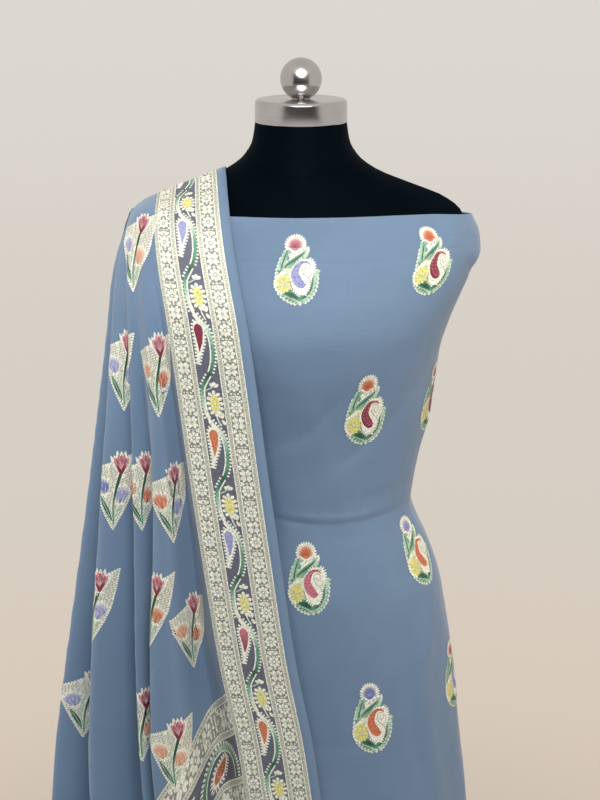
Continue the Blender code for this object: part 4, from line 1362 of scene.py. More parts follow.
def vineMotif(dropColours):
    # its yellow flower is in the right bay at the top, and its drop in the left bay
    made = startStrip("vine", "vineGround")
    flower = vineShape["flower"]

    def path(name, count):
        return curved(vineShape[name], count) + (0, flower)

    count = vineShape["stemPoints"]
    stem = path("stem", count)
    patch(made, stem, widthsAlong(count, *vineShape["stemWidths"]), vineShape["stemColours"], 1)
    first, second = vineShape["crossings"]
    # the path runs down, so its right side is the viewer's left
    for low, high, side in ((0, first, 1), (first, second, -1), (second, count, 1)):
        teeth(made, sidesOf(stem, 2.0)[side > 0][low:high], side, 4.1, 2.9, 2.9, "cream", 2)
        patch(made, sidesOf(stem, 2.4)[side < 0][low:high], 0.8, "cream", 2)
    # yellow flower
    petalRing(made, 3.2, flower, 4.6, 10.2, 12, 5.4, 4.3, "cream", 1)
    disc(made, 3.2, flower, 5.6, 11.4, "paleYellow", 2, rows=8)
    petalRing(made, 3.2, flower, 2.4, 6.0, 9, 4.4, 2.7, "yellow", 3, first=20, rows=2)
    disc(made, 3.2, flower, 2.9, 7.0, "yellow", 3, rows=5)
    disc(made, 3.2, flower, 0.9, 3.6, "paleYellow", 4, rows=5)
    # buds above and below it
    for direction in (-50, 5, 60):
        petal(made, 4.6, flower + 19.5, direction, 6.0, 4.4, "cream", 1)
    above = curved([(-6.5, flower + 15), (-1, flower + 17), (4.6, flower + 20.5)], 5)
    patch(made, above, 0.7, "paleGreen", 2)
    for x, y, direction in ((8.6, -19, 150), (8.8, -17.5, 20), (7.2, -16.5, -25)):
        petal(made, x, flower + y, direction, 7.0, 4.0, "cream", 1)
    below = curved([(3.0, flower - 12), (4.0, flower - 19), (7.0, flower - 26)], 5)
    patch(made, below, 0.7, "cream", 2)
    toothedDrop(made, path("drop", 18), widthsAlong(18, *vineShape["dropWidths"]), 0.6, 3.0, 2.8, slant=20)
    patch(made, path("heart", 14), widthsAlong(14, *vineShape["heartWidths"]), dropColours, 2)
    return keepMesh("vine", made)


archShape = {
    "arch": ((-34, -27), (-35, -10), (-26, 8), (-8, 18), (12, 18), (28, 8), (35, -10), (34, -27)),
    "drop": ((-14, -21), (-8, -13), (3, -2), (14, 8)),
    "dropWidths": ((0, 0.1, 0.4, 0.75, 1), (1.0, 8.0, 11.0, 6.5, 0.8)),
    "heart": ((-11, -18), (-6, -11), (3, -2), (11, 6)),
    "heartWidths": ((0, 0.12, 0.45, 0.8, 1), (1.0, 5.4, 7.6, 3.8, 0.4)),
}


def archMotif():
    # the end bands' wide strip: a drop under an arch, and a flower between two of them
    made = startMotif()
    width = stripShapes["arch"]["repeat"] / 2
    patch(made, [(-width, 0), (width, 0)], stripShapes["arch"]["width"] / 2, "vineGround", 0)
    arch = curved(archShape["arch"], 44)
    patch(made, arch, 3.6, ("darkGreen", "green", "paleGreen", "green", "darkGreen"), 1)
    teeth(made, sidesOf(arch, 3.2)[0], -1, 4.4, 6.4, 3.2, "cream", 2, rows=3)
    patch(made, sidesOf(arch, 4.4)[1], 1.0, "cream", 2)
    drop = curved(archShape["drop"], 18)
    toothedDrop(made, drop, widthsAlong(18, *archShape["dropWidths"]), 1.0, 5.6, 2.9, rows=3)
    heart = widthsAlong(14, *archShape["heartWidths"])
    patch(made, curved(archShape["heart"], 14), heart, ("orange", "rust", "orange"), 2)
    for x in (-53.5, 53.5):
        petalRing(made, x, -3, 3.2, 9.6, 10, 4.6, 4.0, "cream", 1)
        disc(made, x, -3, 4.0, 10.6, "yellow", 2, rows=7)
        for direction in (-40, 0, 40):
            petal(made, x, 14, direction, 7, 4.0, "cream", 1)
            petal(made, x, -19, 180 + direction, 7, 4.0, "cream", 1)
        patch(made, [(x, 10), (x, 20)], 0.8, "paleGreen", 2)
    # as the other strips, it runs along v
    quarterTurn = Matrix.Rotation(math.radians(-90), 3, "Z")
    bmesh.ops.rotate(made, verts=made.verts, cent=(0, 0, 0), matrix=quarterTurn)
    bmesh.ops.translate(made, verts=made.verts, vec=(0, width, 0))
    return keepMesh("arch", made)


# the scattered motifs

fanShape = {
    "left": ((0, 0), (-14, 31), (-22.5, 51), (-25, 67)),
    "right": ((0, 0), (12.5, 28), (19, 46), (22.5, 68), (25.5, 93)),
    "height": 84,
    "strokePitch": 2.9,
    "pearlPitch": 3.0,
}


def brushFlower(made, x, y, direction, spread, length, width, names, level, strokes=9):
    # fine strokes from one point, spread this far either side of a direction, pale ones between
    for k in range(strokes):
        aside = 2 * k / (strokes - 1) - 1
        reach = length * (1 - 0.20 * abs(aside)) * (1.0 if k % 2 else 1.10)
        colours = names if k % 2 else ("cream", names[-1])
        petal(made, x, y, direction + spread * aside, reach, width, colours, level + k % 2, rows=5)


@functools.cache
def fanMotif(leftColour, rightColour):
    # a fan of flowers, its apex at the origin and its flowers up
    made = startMotif()
    left, right = fanShape["left"], fanShape["right"]
    shares = np.linspace(0.005, 1, 30)
    ruled(made, atShares(left, shares), atShares(right, shares), "hatch", 0)
    pitch = fanShape["strokePitch"]
    for k, share in enumerate(np.arange(0.05, 0.985, pitch / fanShape["height"])):
        start, end = (atShares(edge, np.array([share]))[0] for edge in (left, right))
        span = np.linalg.norm(end - start)
        for along in np.arange(1.2 + 0.8 * (k % 2), span - 2.0, 1.3 * pitch):
            x, y = start + (end - start) * along / span
            petal(made, x, y - 1.5, 42, 3.9, 1.5, "cream", 1, rows=2, tip=0.8)
    edges = [*left[::-1], *right[1:], left[-1]]
    run = runAlong(np.array(edges, float), 0)
    for at in np.arange(0.5, run[-1], fanShape["pearlPitch"]):
        x, y = atShares(edges, np.array([at / run[-1]]))[0]
        disc(made, x, y, 1.3, 1.3, "cream", 2, rows=4)
    # side flowers: strokes that pale towards their tips, on a pale ground
    for x, y, direction, spread, length, name in (
        (-8.8, 41.5, -17, 40, 21, leftColour), (6.4, 31.0, 9, 27, 23, rightColour),
    ):
        brushFlower(made, x, y, direction, spread, length, 4.4, (name, name, name, "cream"), 2, strokes=13)
        deeper = (deeperThread[name], name, name)
        brushFlower(made, x, y, direction, 0.5 * spread, 0.66 * length, 2.6, deeper, 4, strokes=5)
        for turn in (-60, 0, 60):
            petal(made, x, y + 1, 180 + direction + turn, 5.5, 3.2, "cream", 4)
    # stem and leaves
    stem = curved([(0.6, 6), (0.2, 30), (2.6, 48), (6.8, 66)], 16)
    patch(made, stem - (1.5, 0), np.linspace(0.4, 0.9, 16), "cream", 6)
    patch(made, stem, np.linspace(0.5, 1.5, 16), ("green", "green", "darkGreen", "darkGreen"), 7)
    leaf = widthsAlong(12, (0, 0.3, 0.7, 1), (0.5, 1.9, 2.2, 0.5))
    blade = curved([(-0.6, 10), (-4.6, 20), (-8.8, 29), (-13.4, 38)], 12)
    patch(made, blade, leaf, ("green", "darkGreen", "green"), 6)
    patch(made, blade[2:-2], 0.3, "paleGreen", 7)
    patch(made, curved([(-0.4, 14), (-3.4, 32), (-4.0, 52), (-5.4, 72)], 14), 0.5, ("paleGreen", "cream"), 6)
    patch(made, curved([(1.0, 10), (4.0, 20), (7.6, 29)], 8), np.linspace(0.5, 1.2, 8), "paleGreen", 6)
    disc(made, -5.6, 75, 2.4, 3.4, "cream", 6, rows=4)
    # top flower
    brushFlower(made, 7.4, 64, 0, 25, 29, 5.0, ("cream", "cream"), 2, strokes=7)
    brushFlower(made, 7.4, 65, 0, 19, 24, 4.6, ("maroon", "maroon", "maroon", "pink"), 4, strokes=7)
    for direction in (-18, -9, 0, 9, 18):
        petal(made, 7.4, 65.5, direction, 20 - abs(direction) / 4, 3.4, ("maroon", "maroon", "pink"), 6)
    for direction, length in ((-20, 8), (-8, 12), (4, 10), (15, 9)):
        petal(made, 7.4, 71, direction, length, 0.8, ("pink", "cream"), 7, rows=2)
    for direction in (100, 150, 200, 250):
        petal(made, 7.2, 65, direction, 5.2, 3.0, "cream", 6)
    return keepMesh("fan", made)


paisleyShape = {
    # the leaves' outline, from the foot up
    "left": ((2, -36.5), (-9, -33), (-17, -26), (-20, -16), (-19, -4), (-16.5, 6), (-12.5, 16), (-8, 26)),
    "right": ((4, -36.5), (12, -31.5), (18, -24), (20.5, -14), (20.5, -5), (17.0, 6), (12.0, 15), (7, 26)),
    # leaves: path, half width, colours, the side that has scallops, the scallops' colour
    "leaves": (
        (((-15.5, -26.5), (-8, -28.4), (-1.5, -31), (3.5, -35)), 2.9, ("green", "darkGreen", "green"),
         1, "paleGreen"),
        (((3.5, -35), (11, -29.5), (16.5, -21), (18.5, -11), (22.0, -3)), 1.9,
         ("green", "darkGreen", "green", "paleGreen"), 1, "paleGreen"),
        (((-17, -3), (-16.4, 5), (-14.2, 12), (-11.5, 19)), 2.6, ("green", "paleGreen", "green"),
         -1, "paleGreen"),
        (((-17, -2.5), (-10.5, 4.5), (-3, 9.6), (5, 15.4), (11.4, 22)), 2.8,
         ("paleGreen", "green", "paleGreen"), -1, "cream"),
    ),
    # middle and half width of the pale body, from the top down
    "body": ((10.3, 11.2, 4.0), (10.3, 8.2, 8.6), (9.6, 3.7, 10.9), (7.5, -0.9, 12.9), (5.5, -6.6, 13.4),
             (4.1, -12.3, 12.1), (4.3, -18.1, 11.0), (5.5, -23.8, 8.6), (6.9, -29.2, 3.0)),
    "comma": ((15.5, 4.8), (10.3, 7.4), (4.6, 6.5), (0.6, 1.4), (-1.7, -5.5), (1.2, -12.9), (5.8, -17.5),
              (9.8, -19.2)),
    "commaWidths": (0.6, 1.0, 1.9, 3.2, 4.6, 5.4, 4.8, 2.0),
    "fold": ((5.6, 2.6), (4.4, -2.4), (6.6, -7.4), (11.4, -11.4), (14.2, -15.6), (12.4, -24)),
    "curl": ((6.6, -1.8), (7.0, 2.8), (10.8, 4.6), (14.6, 2.0), (14.0, -2.6), (10.6, -3.6), (9.2, -0.8),
             (11.2, 1.0)),
}


@functools.cache
def paisleyMotif(topColour, bodyColour):
    # round flower above, paisley at the right, yellow flower at the left, leaves round them
    made = startMotif()
    # leaves: a broad pale blade, a dark vein and scallops on their outer side
    left, right = (atShares(paisleyShape[side], np.linspace(0, 1, 22)) for side in ("left", "right"))
    ruled(made, left, right, ("green", "green", "paleGreen", "green", "paleGreen"), 0)
    rim = np.concatenate([left[::-1][:-1], right])  # down the left side, under and up the right
    pale = ("green", "paleGreen", "cream")
    for length, width, names, level in ((6.2, 4.4, pale, 1), (4.2, 1.1, "darkGreen", 2)):
        for part, slant in ((rim[5:22], 36), (rim[21:-9], -36)):
            teeth(made, part, 1, 4.0, length, width, names, level, rows=3, slant=slant)
    petal(made, 3, -34, 168, 7.0, 4.2, ("paleGreen", "cream"), 1)
    for points, width, names, side, scallop in paisleyShape["leaves"]:
        leaf = curved(points, 16)
        shape = width * widthsAlong(16, (0, 0.3, 0.7, 1), (0.55, 1.0, 0.95, 0.4))
        teeth(made, leaf, side, 3.6, 5.4, 3.2, scallop, 3, rows=3, slant=-side * 40)
        patch(made, leaf, shape, names, 4)
        patch(made, leaf[2:-2], shape[2:-2] * 0.28, "darkGreen", 5)
    patch(made, [(-8.6, 13.2), (11, 21.6)], 3.4, "cream", 3)
    petal(made, 8.4, 11.5, 18, 14, 6.0, ("paleGreen", "cream"), 3)
    for x, y in ((-4, 15.6), (1, 17.6), (5.6, 19.8)):
        patch(made, [(x, y), (x + 2.2, y + 2.8)], 0.4, "ground", 5)
    # round flower
    petalRing(made, -2.2, 26.8, 7.4, 6.8, 16, 5.6, 2.5, "cream", 5, first=-118, sweep=228)
    disc(made, -2.4, 26.6, 8.8, 8.4, "cream", 5)
    rays = (topColour, topColour, "cream")
    petalRing(made, -2.4, 26.2, 2.2, 2.2, 18, 7.6, 1.7, rays, 6, first=-110, sweep=220)
    disc(made, -2.6, 25.6, 5.6, 5.2, topColour, 6, rows=7)
    for direction in range(-84, 85, 28):
        petal(made, -2.8, 24.0, direction, 7.6, 0.9, deeperThread[topColour], 7, rows=2)
    # yellow flower
    petalRing(made, -14.6, -16.6, 7.4, 8.6, 10, 4.2, 3.4, "cream", 5, first=-165, sweep=165)
    petal(made, -18.5, -6.0, 66, 13, 6.0, ("cream", "paleYellow"), 5)
    petalRing(made, -14.0, -16.6, 4.4, 5.6, 14, 5.0, 3.4, ("yellow", "yellow", "paleYellow"), 6)
    disc(made, -14.0, -16.6, 6.4, 7.8, "yellow", 6, rows=7)
    for k in range(9):
        petal(made, -13.6, -19.0, -100 + 25 * k, 9.4, 0.8, "paleYellow" if k % 2 else "hatch", 7, rows=3)
    patch(made, curved([(-6.4, -14), (-5.6, -19), (-3.2, -24)], 6), 0.5, "ground", 7)
    # paisley: a pale body with a scalloped edge, a coloured comma and a curl
    body = paisleyShape["body"]
    middle = curved([(x, y) for x, y, width in body], 24)
    spread = np.interp(np.linspace(0, len(body) - 1, 24), range(len(body)), [width for x, y, width in body])
    ruled(made, middle - np.outer(spread, (1, 0)), middle + np.outer(spread, (1, 0)), "cream", 5)
    for side in (-1, 1):
        edge = middle + np.outer(spread - 0.8, (side, 0))
        teeth(made, edge, -side, 2.7, 2.7, 2.2, "cream", 5)
    comma = curved(paisleyShape["comma"], 30)
    widths = paisleyShape["commaWidths"]
    widths = np.interp(np.linspace(0, len(widths) - 1, 30), range(len(widths)), widths)
    patch(made, comma, widths, bodyColour, 6)
    for share in np.linspace(0.12, 0.96, 15):
        x, y = comma[int(share * 29)]
        for side in (-1, 1):
            petal(made, x + side * 1.1, y, side * 62, 2.7, 1.1, deeperThread[bodyColour], 7, rows=2)
    fold = curved(paisleyShape["fold"], 20)
    patch(made, fold, widthsAlong(20, (0, 0.4, 1), (1.2, 2.0, 1.1)), "cream", 7)
    patch(made, sidesOf(fold, 2.1)[0][2:16], 0.3, "ground", 8)
    patch(made, curved(paisleyShape["curl"], 26), 0.36, "hatch", 8)
    patch(made, curved([(17.6, -3.5), (16.2, -7.5), (13.0, -9.0)], 6), 0.4, "hatch", 8)
    return keepMesh("paisley", made)


# laying motifs on cloth

laying = {
    "lift": 0.00070,  # of the lowest level over the cloth's middle
    "step": 0.00010,  # from one level to the next
    "near": 0.00004,  # layers this close in square metres are taken as lying on each other
}


def everyMillimetre(runs):
    # for each run, the row or column at every millimetre of it
    at = np.arange(int(1000 * runs.max()) + 2) / 1000
    return np.array([np.interp(at, run, np.arange(len(run))) for run in runs])


def clothMap(points, across, along, facing=1):
    # what motifs are laid by; facing is -1 where the grid's own normals point inwards
    return {
        "points": points, "across": across, "along": along, "normals": facing * gridNormals(points),
        "columnAt": everyMillimetre(across), "rowAt": everyMillimetre(along.T),
    }


def between(grid, row, column):
    # bilinear reading of a grid at fractional rows and columns
    row, column = np.broadcast_arrays(
        np.clip(row, 0, grid.shape[0] - 1.001), np.clip(column, 0, grid.shape[1] - 1.001))
    r = row.astype(int)
    c = column.astype(int)
    a = row - r
    b = column - c
    if grid.ndim == 3:
        a = a[:, None]
        b = b[:, None]
    low = grid[r, c] * (1 - b) + grid[r, c + 1] * b
    high = grid[r + 1, c] * (1 - b) + grid[r + 1, c + 1] * b
    return low * (1 - a) + high * a


def nearestPlace(cloth, x, z):
    # row and column of the outermost layer of the front at this side and height
    points = cloth["points"]
    away = (points[..., 0] - x) ** 2 + (points[..., 2] - z) ** 2
    away = np.where(points[..., 1] < 0, away, np.inf)
    close = away < away.min() + laying["near"]
    depth = np.where(close, points[..., 1], np.inf)
    return np.unravel_index(np.argmin(depth), depth.shape)


def tooNear(anchors, place, clear):
    return min(np.linalg.norm(anchor - place) for anchor in anchors) < clear


def onAnchor(cloth, row, column, side, wide=1.0, tall=1.0, foot=0.0):
    # places (u, v) round one point of the cloth; side is +1 where across runs to the viewer's right
    start = cloth["along"][row, column] - foot * tall

    def place(u, v):
        rows = between(cloth["rowAt"], column, 1000 * (start + tall * v))
        across = between(cloth["across"], rows, column) + side * wide * u
        return rows, between(cloth["columnAt"], rows, 1000 * np.maximum(across, 0))

    return place


def layMotifs(name, cloth, placements, finish):
    # placements are (motif, place): place takes metres to fractional rows and columns of the cloth
    made = bmesh.new()
    spans = []
    for motif, place in placements:
        start = len(made.verts)
        made.from_mesh(motif)
        spans.append((start, len(made.verts), place))
    flat = np.array([vert.co for vert in made.verts])
    rows = np.zeros(len(flat))
    columns = np.zeros(len(flat))
    for start, end, place in spans:
        rows[start:end], columns[start:end] = place(flat[start:end, 0] / 1000, flat[start:end, 1] / 1000)
    lift = laying["lift"] + laying["step"] * flat[:, 2]
    normals = between(cloth["normals"], rows, columns)
    points = between(cloth["points"], rows, columns) + lift[:, None] * normals
    cells = np.stack([between(cloth[run], rows, columns) for run in ("across", "along")], axis=1)
    for vert, place in zip(made.verts, points):
        vert.co = place
    made.normal_update()
    turnedIn = [face for face in made.faces if face.normal.dot(Vector(normals[face.verts[0].index])) < 0]
    bmesh.ops.reverse_faces(made, faces=turnedIn)
    piece = addPiece(name, made, finish)
    layer = piece.data.uv_layers.new(name="cloth")
    corners = np.zeros(len(piece.data.loops), np.int32)
    piece.data.loops.foreach_get("vertex_index", corners)
    layer.data.foreach_set("uv", cells[corners].ravel())
    return piece


# the dupatta's weave: its two long borders, its end bands and its scattered fans

dupattaWeave = {
    # strip, distance of its middle from the sheet's edge in mm
    "borderStrips": (("beads", 14.7), ("jaal", 25.8), ("beads", 36.7), ("vine", 52.8), ("beads", 68.9),
                     ("jaal", 79.8), ("beads", 89.6)),
    "borderRepeats": {"beads": 0.060, "jaal": 0.064, "vine": 0.1245},
    "flowerAt": (-0.060, 0.977),  # side and height of one of the vine's flowers on the inner border
    "farFlowerAt": 0.05,  # and how far along the outer border its first one is
    "farTaper": 12,
    "trim": 1.5,  # the borders end this far from the hem
    "dropOrder": ("pink", "lilac", "orange", "maroon", "lilac", "orange"),
    # strip, height of its middle above the hem in mm, how many times its width in the border
    "endStrips": (("beads", 25.0, 1.62), ("jaal", 47.5, 2.22), ("beads", 70.0, 1.62), ("arch", 103.5, 1.0),
                  ("beads", 137.0, 1.62), ("jaal", 159.5, 2.22), ("beads", 182.0, 1.62)),
    "endRepeats": {"beads": 0.075, "jaal": 0.086, "arch": 0.122},
    "endStart": 14.0,
    "endTrim": 0.5,
    "guideShare": 0.35,  # the bands' width is measured this far up a flap
    # middle of each fan at the front, and its flowers' colours: the side flowers first
    "frontFans": (
        # side, height, the two colours, how many times its usual width
        (-0.196, 1.393, "lilac", "peach", 1.25), (-0.167, 1.258, "peach", "orange", 1.05),
        (-0.147, 1.104, "orange", "lilac", 1.10), (-0.128, 0.932, "peach", "orange", 1.15),
        (-0.156, 0.784, "peach", "peach", 1.20), (-0.184, 1.112, "orange", "orange", 1.10),
        (-0.184, 0.964, "orange", "orange", 1.15), (-0.198, 0.806, "orange", "peach", 1.15),
        (-0.212, 1.250, "lilac", "lilac", 1.15), (-0.226, 1.106, "blue", "lilac", 1.20),
        (-0.257, 0.958, "lilac", "lilac", 1.25), (-0.271, 0.795, "lilac", "lilac", 1.40),
        (-0.256, 0.614, "lilac", "orange", 1.30),
    ),
    "fanTall": 1.05,
    "fanFoot": 0.052,
    # elsewhere the fans are in even rows
    "fanRows": (0.150, 40),  # how far apart, and how many at most
    "fanColumns": (0.095, 9),
    "fanStart": 0.055,
    "fanPairs": (("lilac", "lilac"), ("orange", "peach"), ("blue", "lilac"), ("peach", "orange")),
    "guideColumn": 60,
    "fanClear": 0.088,
    "edgeClear": 0.045,
    "hemClear": 0.249,  # the end band's height and a fan's own foot
    "frontEnd": 0.02,  # the even rows are behind this
    "bandRise": (0.016, 0.020),  # the end band climbs this much towards the long border, over this width
}


def repeatedStrip(made, motif, middle, length, start, repeat, size=1.0, sideways=False):
    # copies of a motif in a row, in mm: along v, or along u when sideways
    stretch = 1000 * repeat / stripShapes[motif.name.split(".")[0]]["repeat"]
    at = start
    while at < length:
        before = len(made.verts)
        made.from_mesh(motif)
        made.verts.ensure_lookup_table()
        for vert in made.verts[before:]:
            u, v, level = vert.co
            if sideways:
                vert.co = (at + v * stretch, middle + u * size, level)
            else:
                vert.co = (middle + u * size, at + v * stretch, level)
        at += 1000 * repeat


def cropFlat(made, place, keep):
    # cuts a flat weave along a line and keeps the side that `keep` points to
    bmesh.ops.bisect_plane(
        made, geom=made.verts[:] + made.edges[:] + made.faces[:], dist=1e-5,
        plane_co=(*place, 0), plane_no=(*keep, 0), clear_inner=True, clear_outer=False,
    )


def flatBorder(motifs, length, flowerAt, edgeSide):
    # edgeSide -1: the sheet's edge is at x = 0 and the weave runs to -x; +1: to +x
    made = startMotif()
    length = 1000 * length
    order = dupattaWeave["dropOrder"]
    for name, middle in dupattaWeave["borderStrips"]:
        repeat = dupattaWeave["borderRepeats"][name]
        if name != "vine":
            repeatedStrip(made, motifs[name], edgeSide * middle, length, 0.0, repeat)
            continue
        # one repeat at a time, because their drops differ
        flower = vineShape["flower"] / 1000 * repeat / (stripShapes["vine"]["repeat"] / 1000)
        first = 1000 * (flowerAt - flower)
        count = math.ceil(first / (1000 * repeat))
        start = first - count * 1000 * repeat
        k = 0
        while start < length:
            motif = motifs["vine", order[(k - count) % len(order)]]
            repeatedStrip(made, motif, edgeSide * middle, start + 1, start, repeat)
            start += 1000 * repeat
            k += 1
    trim = dupattaWeave["trim"]
    cropFlat(made, (0, trim), (0, 1))
    cropFlat(made, (0, length - trim), (0, -1))
    return made


def flatEndBand(motifs, width):
    made = startMotif()
    width = 1000 * width
    for name, middle, size in dupattaWeave["endStrips"]:
        repeat = dupattaWeave["endRepeats"][name]
        motif = motifs["bandJaal" if name == "jaal" else name]
        repeatedStrip(made, motif, middle, width, -dupattaWeave["endStart"], repeat, size, sideways=True)
    trim = dupattaWeave["endTrim"]
    cropFlat(made, (trim, 0), (1, 0))
    cropFlat(made, (width - trim, 0), (-1, 0))
    return made


def borderMotifs():
    motifs = {"jaal": jaalMotif(), "bandJaal": jaalMotif("bandGround"), "beads": beadMotif(),
              "arch": archMotif()}
    for name in sorted(set(dupattaWeave["dropOrder"])):
        motifs["vine", name] = vineMotif(name if name != "pink" else ("pink", "maroon"))
    return motifs


def layInnerBorder(cloth, motifs, finish):
    middleColumn = dupatta["borderColumns"] // 2
    along = cloth["along"][:, middleColumn]

    def place(u, v):
        rows = between(cloth["rowAt"], middleColumn, 1000 * v)
        return rows, -u / dupatta["borderWidth"] * dupatta["borderColumns"]

    row, column = nearestPlace(cloth, *dupattaWeave["flowerAt"])
    flat = flatBorder(motifs, along[-1], along[row], -1)
    return layMotifs("dupattaBorder", cloth, [(keepMesh("innerBorder", flat), place)], finish)


def layFarBorder(cloth, motifs, finish):
    # it comes out of the side fold below the split, on the front and on the back
    lastColumn = cloth["points"].shape[1] - 1
    edgeColumn = lastColumn - 6
    edge = cloth["along"][:, edgeColumn]
    placements = []
    for front in (True, False):
        flaps = flapRows(front)
        reach = edge[flaps] if front else edge[-1] - edge[len(edge) - 1 - flaps]
        flat = flatBorder(motifs, reach, dupattaWeave["farFlowerAt"], 1)
        cropFlat(flat, (0, 1000 * reach - dupattaWeave["farTaper"]), (1.0, -1.0))

        def place(u, v, front=front):
            along = v if front else edge[-1] - v
            rows = between(cloth["rowAt"], edgeColumn, 1000 * along)
            width = between(cloth["across"], rows, lastColumn)
            return rows, between(cloth["columnAt"], rows, 1000 * (width - u))

        placements.append((keepMesh("outerBorder", flat), place))
    return layMotifs("dupattaFarBorder", cloth, placements, finish)


def layEndBands(cloth, motifs, finish):
    # along both hems, between the borders
    lastRow = cloth["points"].shape[0] - 1
    placements = []
    for front in (True, False):
        guideRow = dupattaWeave["guideShare"] * flapRows(front)
        if not front:
            guideRow = lastRow - guideRow
        flat = flatEndBand(motifs, cloth["across"][int(guideRow), -1] - 2 * dupatta["borderWidth"])

        def place(u, v, front=front, guideRow=guideRow):
            rise, reach = dupattaWeave["bandRise"]
            v = v + rise * np.exp(-np.maximum(u, 0) / reach)
            rows = guideRow
            for _ in range(3):
                columns = between(cloth["columnAt"], rows, 1000 * (dupatta["borderWidth"] + u))
                ends = between(cloth["along"], lastRow, columns)
                rows = between(cloth["rowAt"], columns, 1000 * (v if front else ends - v))
            return rows, columns

        placements.append((keepMesh("endBand", flat), place))
    return layMotifs("dupattaEndBands", cloth, placements, finish)


def layFans(cloth, finish):
    # those of the front where they hang, and the rest in even rows
    across, along = cloth["across"], cloth["along"]
    lastRow = len(along) - 1
    placements = []
    anchors = []

    def addFan(row, column, left, right, wide=1.0):
        place = onAnchor(cloth, row, column, -1, wide, dupattaWeave["fanTall"], dupattaWeave["fanFoot"])
        placements.append((fanMotif(left, right), place))
        anchors.append(cloth["points"][row, column])

    for x, z, left, right, wide in dupattaWeave["frontFans"]:
        row, column = nearestPlace(cloth, x, z)
        if column > dupatta["borderColumns"]:
            addFan(row, column, left, right, wide)
    pairs = dupattaWeave["fanPairs"]
    rowPitch, rowCount = dupattaWeave["fanRows"]
    columnPitch, columnCount = dupattaWeave["fanColumns"]
    start = dupatta["borderWidth"] + dupattaWeave["fanStart"]
    hemClear = dupattaWeave["hemClear"]
    count = 0
    for r in range(1, rowCount):
        for c in range(columnCount):
            rise = 1000 * (rowPitch * (r + 0.5 * (c % 2)))
            row = round(float(between(cloth["rowAt"], dupattaWeave["guideColumn"], rise)))
            if row <= 2 or row >= lastRow - 2:
                continue
            columnAt = cloth["columnAt"][row]
            column = round(columnAt[min(int(1000 * (start + columnPitch * c)), len(columnAt) - 1)])
            if across[row, -1] - across[row, column] < dupattaWeave["edgeClear"]:
                continue
            if min(along[row, column], along[lastRow, column] - along[row, column]) < hemClear:
                continue
            place = cloth["points"][row, column]
            if tooNear(anchors, place, dupattaWeave["fanClear"]) or place[1] < dupattaWeave["frontEnd"]:
                continue
            addFan(row, column, *pairs[count % len(pairs)])
            count += 1
    return layMotifs("dupattaFans", cloth, placements, finish)


def makeDupattaWeave(cloth, finish):
    motifs = borderMotifs()
    return [
        layInnerBorder(cloth, motifs, finish), layFarBorder(cloth, motifs, finish),
        layEndBands(cloth, motifs, finish), layFans(cloth, finish),
    ]


# the kameez's weave: scattered paisleys, in a half drop

kameezWeave = {
    "front": (
        # side, height, the two colours, how many times its usual height
        (-0.005, 1.371, "pink", "lilac", 1.03), (0.157, 1.379, "orange", "maroon", 1.04),
        (0.079, 1.201, "orange", "maroon", 1.20), (0.162, 1.192, "pink", "maroon", 1.15),
        (0.006, 0.991, "orange", "pink", 1.16), (0.147, 1.008, "lilac", "orange", 1.20),
        (0.091, 0.803, "blue", "orange", 1.22), (0.200, 0.826, "pink", "lilac", 1.20),
    ),
    # elsewhere
    "pairs": (("orange", "maroon"), ("pink", "lilac"), ("blue", "orange"), ("orange", "pink")),
    "tall": 1.12,
    "columns": 9,  # either side of the centre front
    "columnWidth": 0.0835,
    "heights": ((1.374, 0.998, 0.612), (1.200, 0.812, 0.480)),
    "clear": 0.095,
    "edgeClear": 0.04,
}


def makeKameezWeave(cloth, outsideRows, finish):
    points, across = cloth["points"], cloth["across"]
    placements = []
    anchors = []

    def addPaisley(row, column, top, body, tall):
        placements.append((paisleyMotif(top, body), onAnchor(cloth, row, column, 1, 1.0, tall)))
        anchors.append(points[row, column])

    for x, z, top, body, tall in kameezWeave["front"]:
        addPaisley(*nearestPlace(cloth, x, z), top, body, tall)
    row, middle = nearestPlace(cloth, 0.0, 1.0)
    pairs = kameezWeave["pairs"]
    edgeClear = kameezWeave["edgeClear"]
    count = 0
    # the end that laps over comes first
    for k in range(kameezWeave["columns"], -kameezWeave["columns"] - 1, -1):
        for z in kameezWeave["heights"][k % 2]:
            row = int(np.argmin(np.abs(points[:outsideRows, middle, 2] - z)))
            at = across[row, middle] + kameezWeave["columnWidth"] * k
            if at < edgeClear or at > across[row, -1] - edgeClear:
                continue
            column = round(cloth["columnAt"][row, int(1000 * at)])
            if tooNear(anchors, points[row, column], kameezWeave["clear"]):
                continue
            addPaisley(row, column, *pairs[count % len(pairs)], kameezWeave["tall"])
            count += 1
    return layMotifs("kameezPaisleys", cloth, placements, finish)


# the salwar: yoke and seat over the hips, two gathered legs and their cuffs

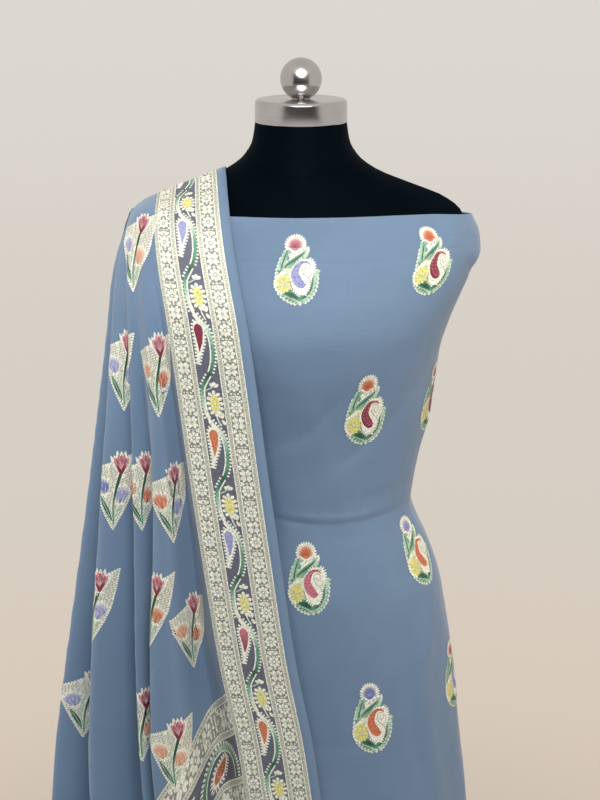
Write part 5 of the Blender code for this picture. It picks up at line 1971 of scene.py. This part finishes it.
salwar = {
    "waist": 1.035,
    "waistGap": 0.0006,
    "bandHeight": 0.030,
    "seatEase": 0.0035,
    "crotch": 0.66,
    "cuffTop": 0.165,
    "hem": 0.10,
    "seamGap": 0.0003,
    "bandWall": 0.0022,
    "closeFrom": 0.93,  # the seat closes in to the waistband above this
    "pinchTop": 0.735,  # and draws in between the legs below this
    "pinchHeight": 0.075,
    "pinchWidth": 0.032,
    "pinch": 0.5,
    "flatter": 0.17,
    "seatLowest": 0.02,  # over the form's bottom, its shape is the same from here down
    "legFolds": 7,
    "foldDrift": 2.0,
    # rows, columns, thickness, flat size, how it is held
    "parts": {
        "Waistband": (8, 120, 0.0020, (0.86, 0.030), "stretched"),
        "Seat": (44, 150, 0.0008, (1.10, 0.36), "gathered"),
        "Leg": (48, 120, 0.0008, (0.50, 0.49), "gathered"),
        "Cuff": (12, 120, 0.0020, (0.36, 0.065), "stretched"),
    },
    # height, centre, half width, depth, folds
    "legSections": (
        (0.100, 0.094, 0.052, 0.056, 0.0015),
        (0.165, 0.094, 0.054, 0.058, 0.0020),
        (0.230, 0.095, 0.062, 0.066, 0.0050),
        (0.340, 0.097, 0.071, 0.077, 0.0060),
        (0.500, 0.099, 0.077, 0.086, 0.0050),
        (0.660, 0.098, 0.079, 0.094, 0.0020),
    ),
}


def salwarTube(part, points, finish, label=""):
    thickness, flat, held = salwar["parts"][part][2:]
    made = wovenGrid(points, np.stack([runAlong(points, 1), runAlong(points, 0)], axis=-1))
    closeSeam(made)
    made.normal_update()
    centre = Vector(points.reshape(-1, 3).mean(axis=0))
    if sum(face.normal.dot(face.calc_center_median() - centre) for face in made.faces) < 0:
        bmesh.ops.reverse_faces(made, faces=made.faces)
    piece = addPiece(f"salwar{part}{label}", made, finish)
    solidify(piece, thickness)
    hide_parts(f"salwar_{part}_{label}".lower().rstrip("_"))


def makeSalwar(finish):
    gap = salwar["seamGap"]
    top = salwar["waist"] - salwar["bandHeight"]
    clear = salwar["waistGap"] + salwar["bandWall"] / 2
    rows, columns = salwar["parts"]["Waistband"][:2]
    band = torsoPoints(np.linspace(top + gap, salwar["waist"], rows), columns, clear)
    salwarTube("Waistband", band, finish)

    rows, columns = salwar["parts"]["Seat"][:2]
    heights = np.linspace(salwar["crotch"] + gap, top, rows)
    close = ease((heights - salwar["closeFrom"]) / (top - salwar["closeFrom"]))
    easeOut = salwar["seatEase"] + close * (clear - salwar["seatEase"])
    lowest = torso["bottom"] + salwar["seatLowest"]
    seat = torsoPoints(np.maximum(heights, lowest), columns, easeOut[:, None])
    seat[..., 2] = heights[:, None]
    low = ease((salwar["pinchTop"] - heights) / salwar["pinchHeight"])[:, None]
    pinch = salwar["pinch"] * low * np.exp(-((seat[..., 0] / salwar["pinchWidth"]) ** 2))
    seat[..., 1] *= (1 - pinch) * (1 - salwar["flatter"] * low)
    salwarTube("Seat", seat, finish)

    for side, label in ((1, "Right"), (-1, "Left")):
        for part, low, high in (("Leg", salwar["cuffTop"] + gap, salwar["crotch"] - gap),
                                ("Cuff", salwar["hem"], salwar["cuffTop"])):
            rows, columns = salwar["parts"][part][:2]
            angle = np.linspace(0, 2 * np.pi, columns + 1)[None, :]
            height = np.linspace(low, high, rows)[:, None]
            centre, halfWidth, depth, folds = allFromTable(salwar["legSections"], height)
            wave = 1 + folds / depth * np.sin(salwar["legFolds"] * angle + salwar["foldDrift"] * height)
            x = side * (centre + halfWidth * wave * np.cos(angle))
            y = depth * wave * np.sin(angle)
            salwarTube(part, np.stack([x, y, height + 0 * x], axis=-1), finish, label)


def makeAll():
    setUpStudio()
    layFloor()
    weaveGroup = makeWeaveGroup()
    cloth = crepeFinish(weaveGroup)
    threads = threadFinish(makeStitchGroup())
    cover = coverFinish(weaveGroup)
    steel = steelFinish(makeBrushedGroup())
    makeTorso(cover)
    makeSeams(cover)
    makeCapAndBall(steel)
    makeStand(steel)
    print("stage: form and stand")
    makeSalwar(cloth)
    print("stage: salwar")
    makeKameez(cloth, threads)
    print("stage: kameez")
    makeDupatta(cloth, threads)
    print("stage: dupatta")


makeAll()
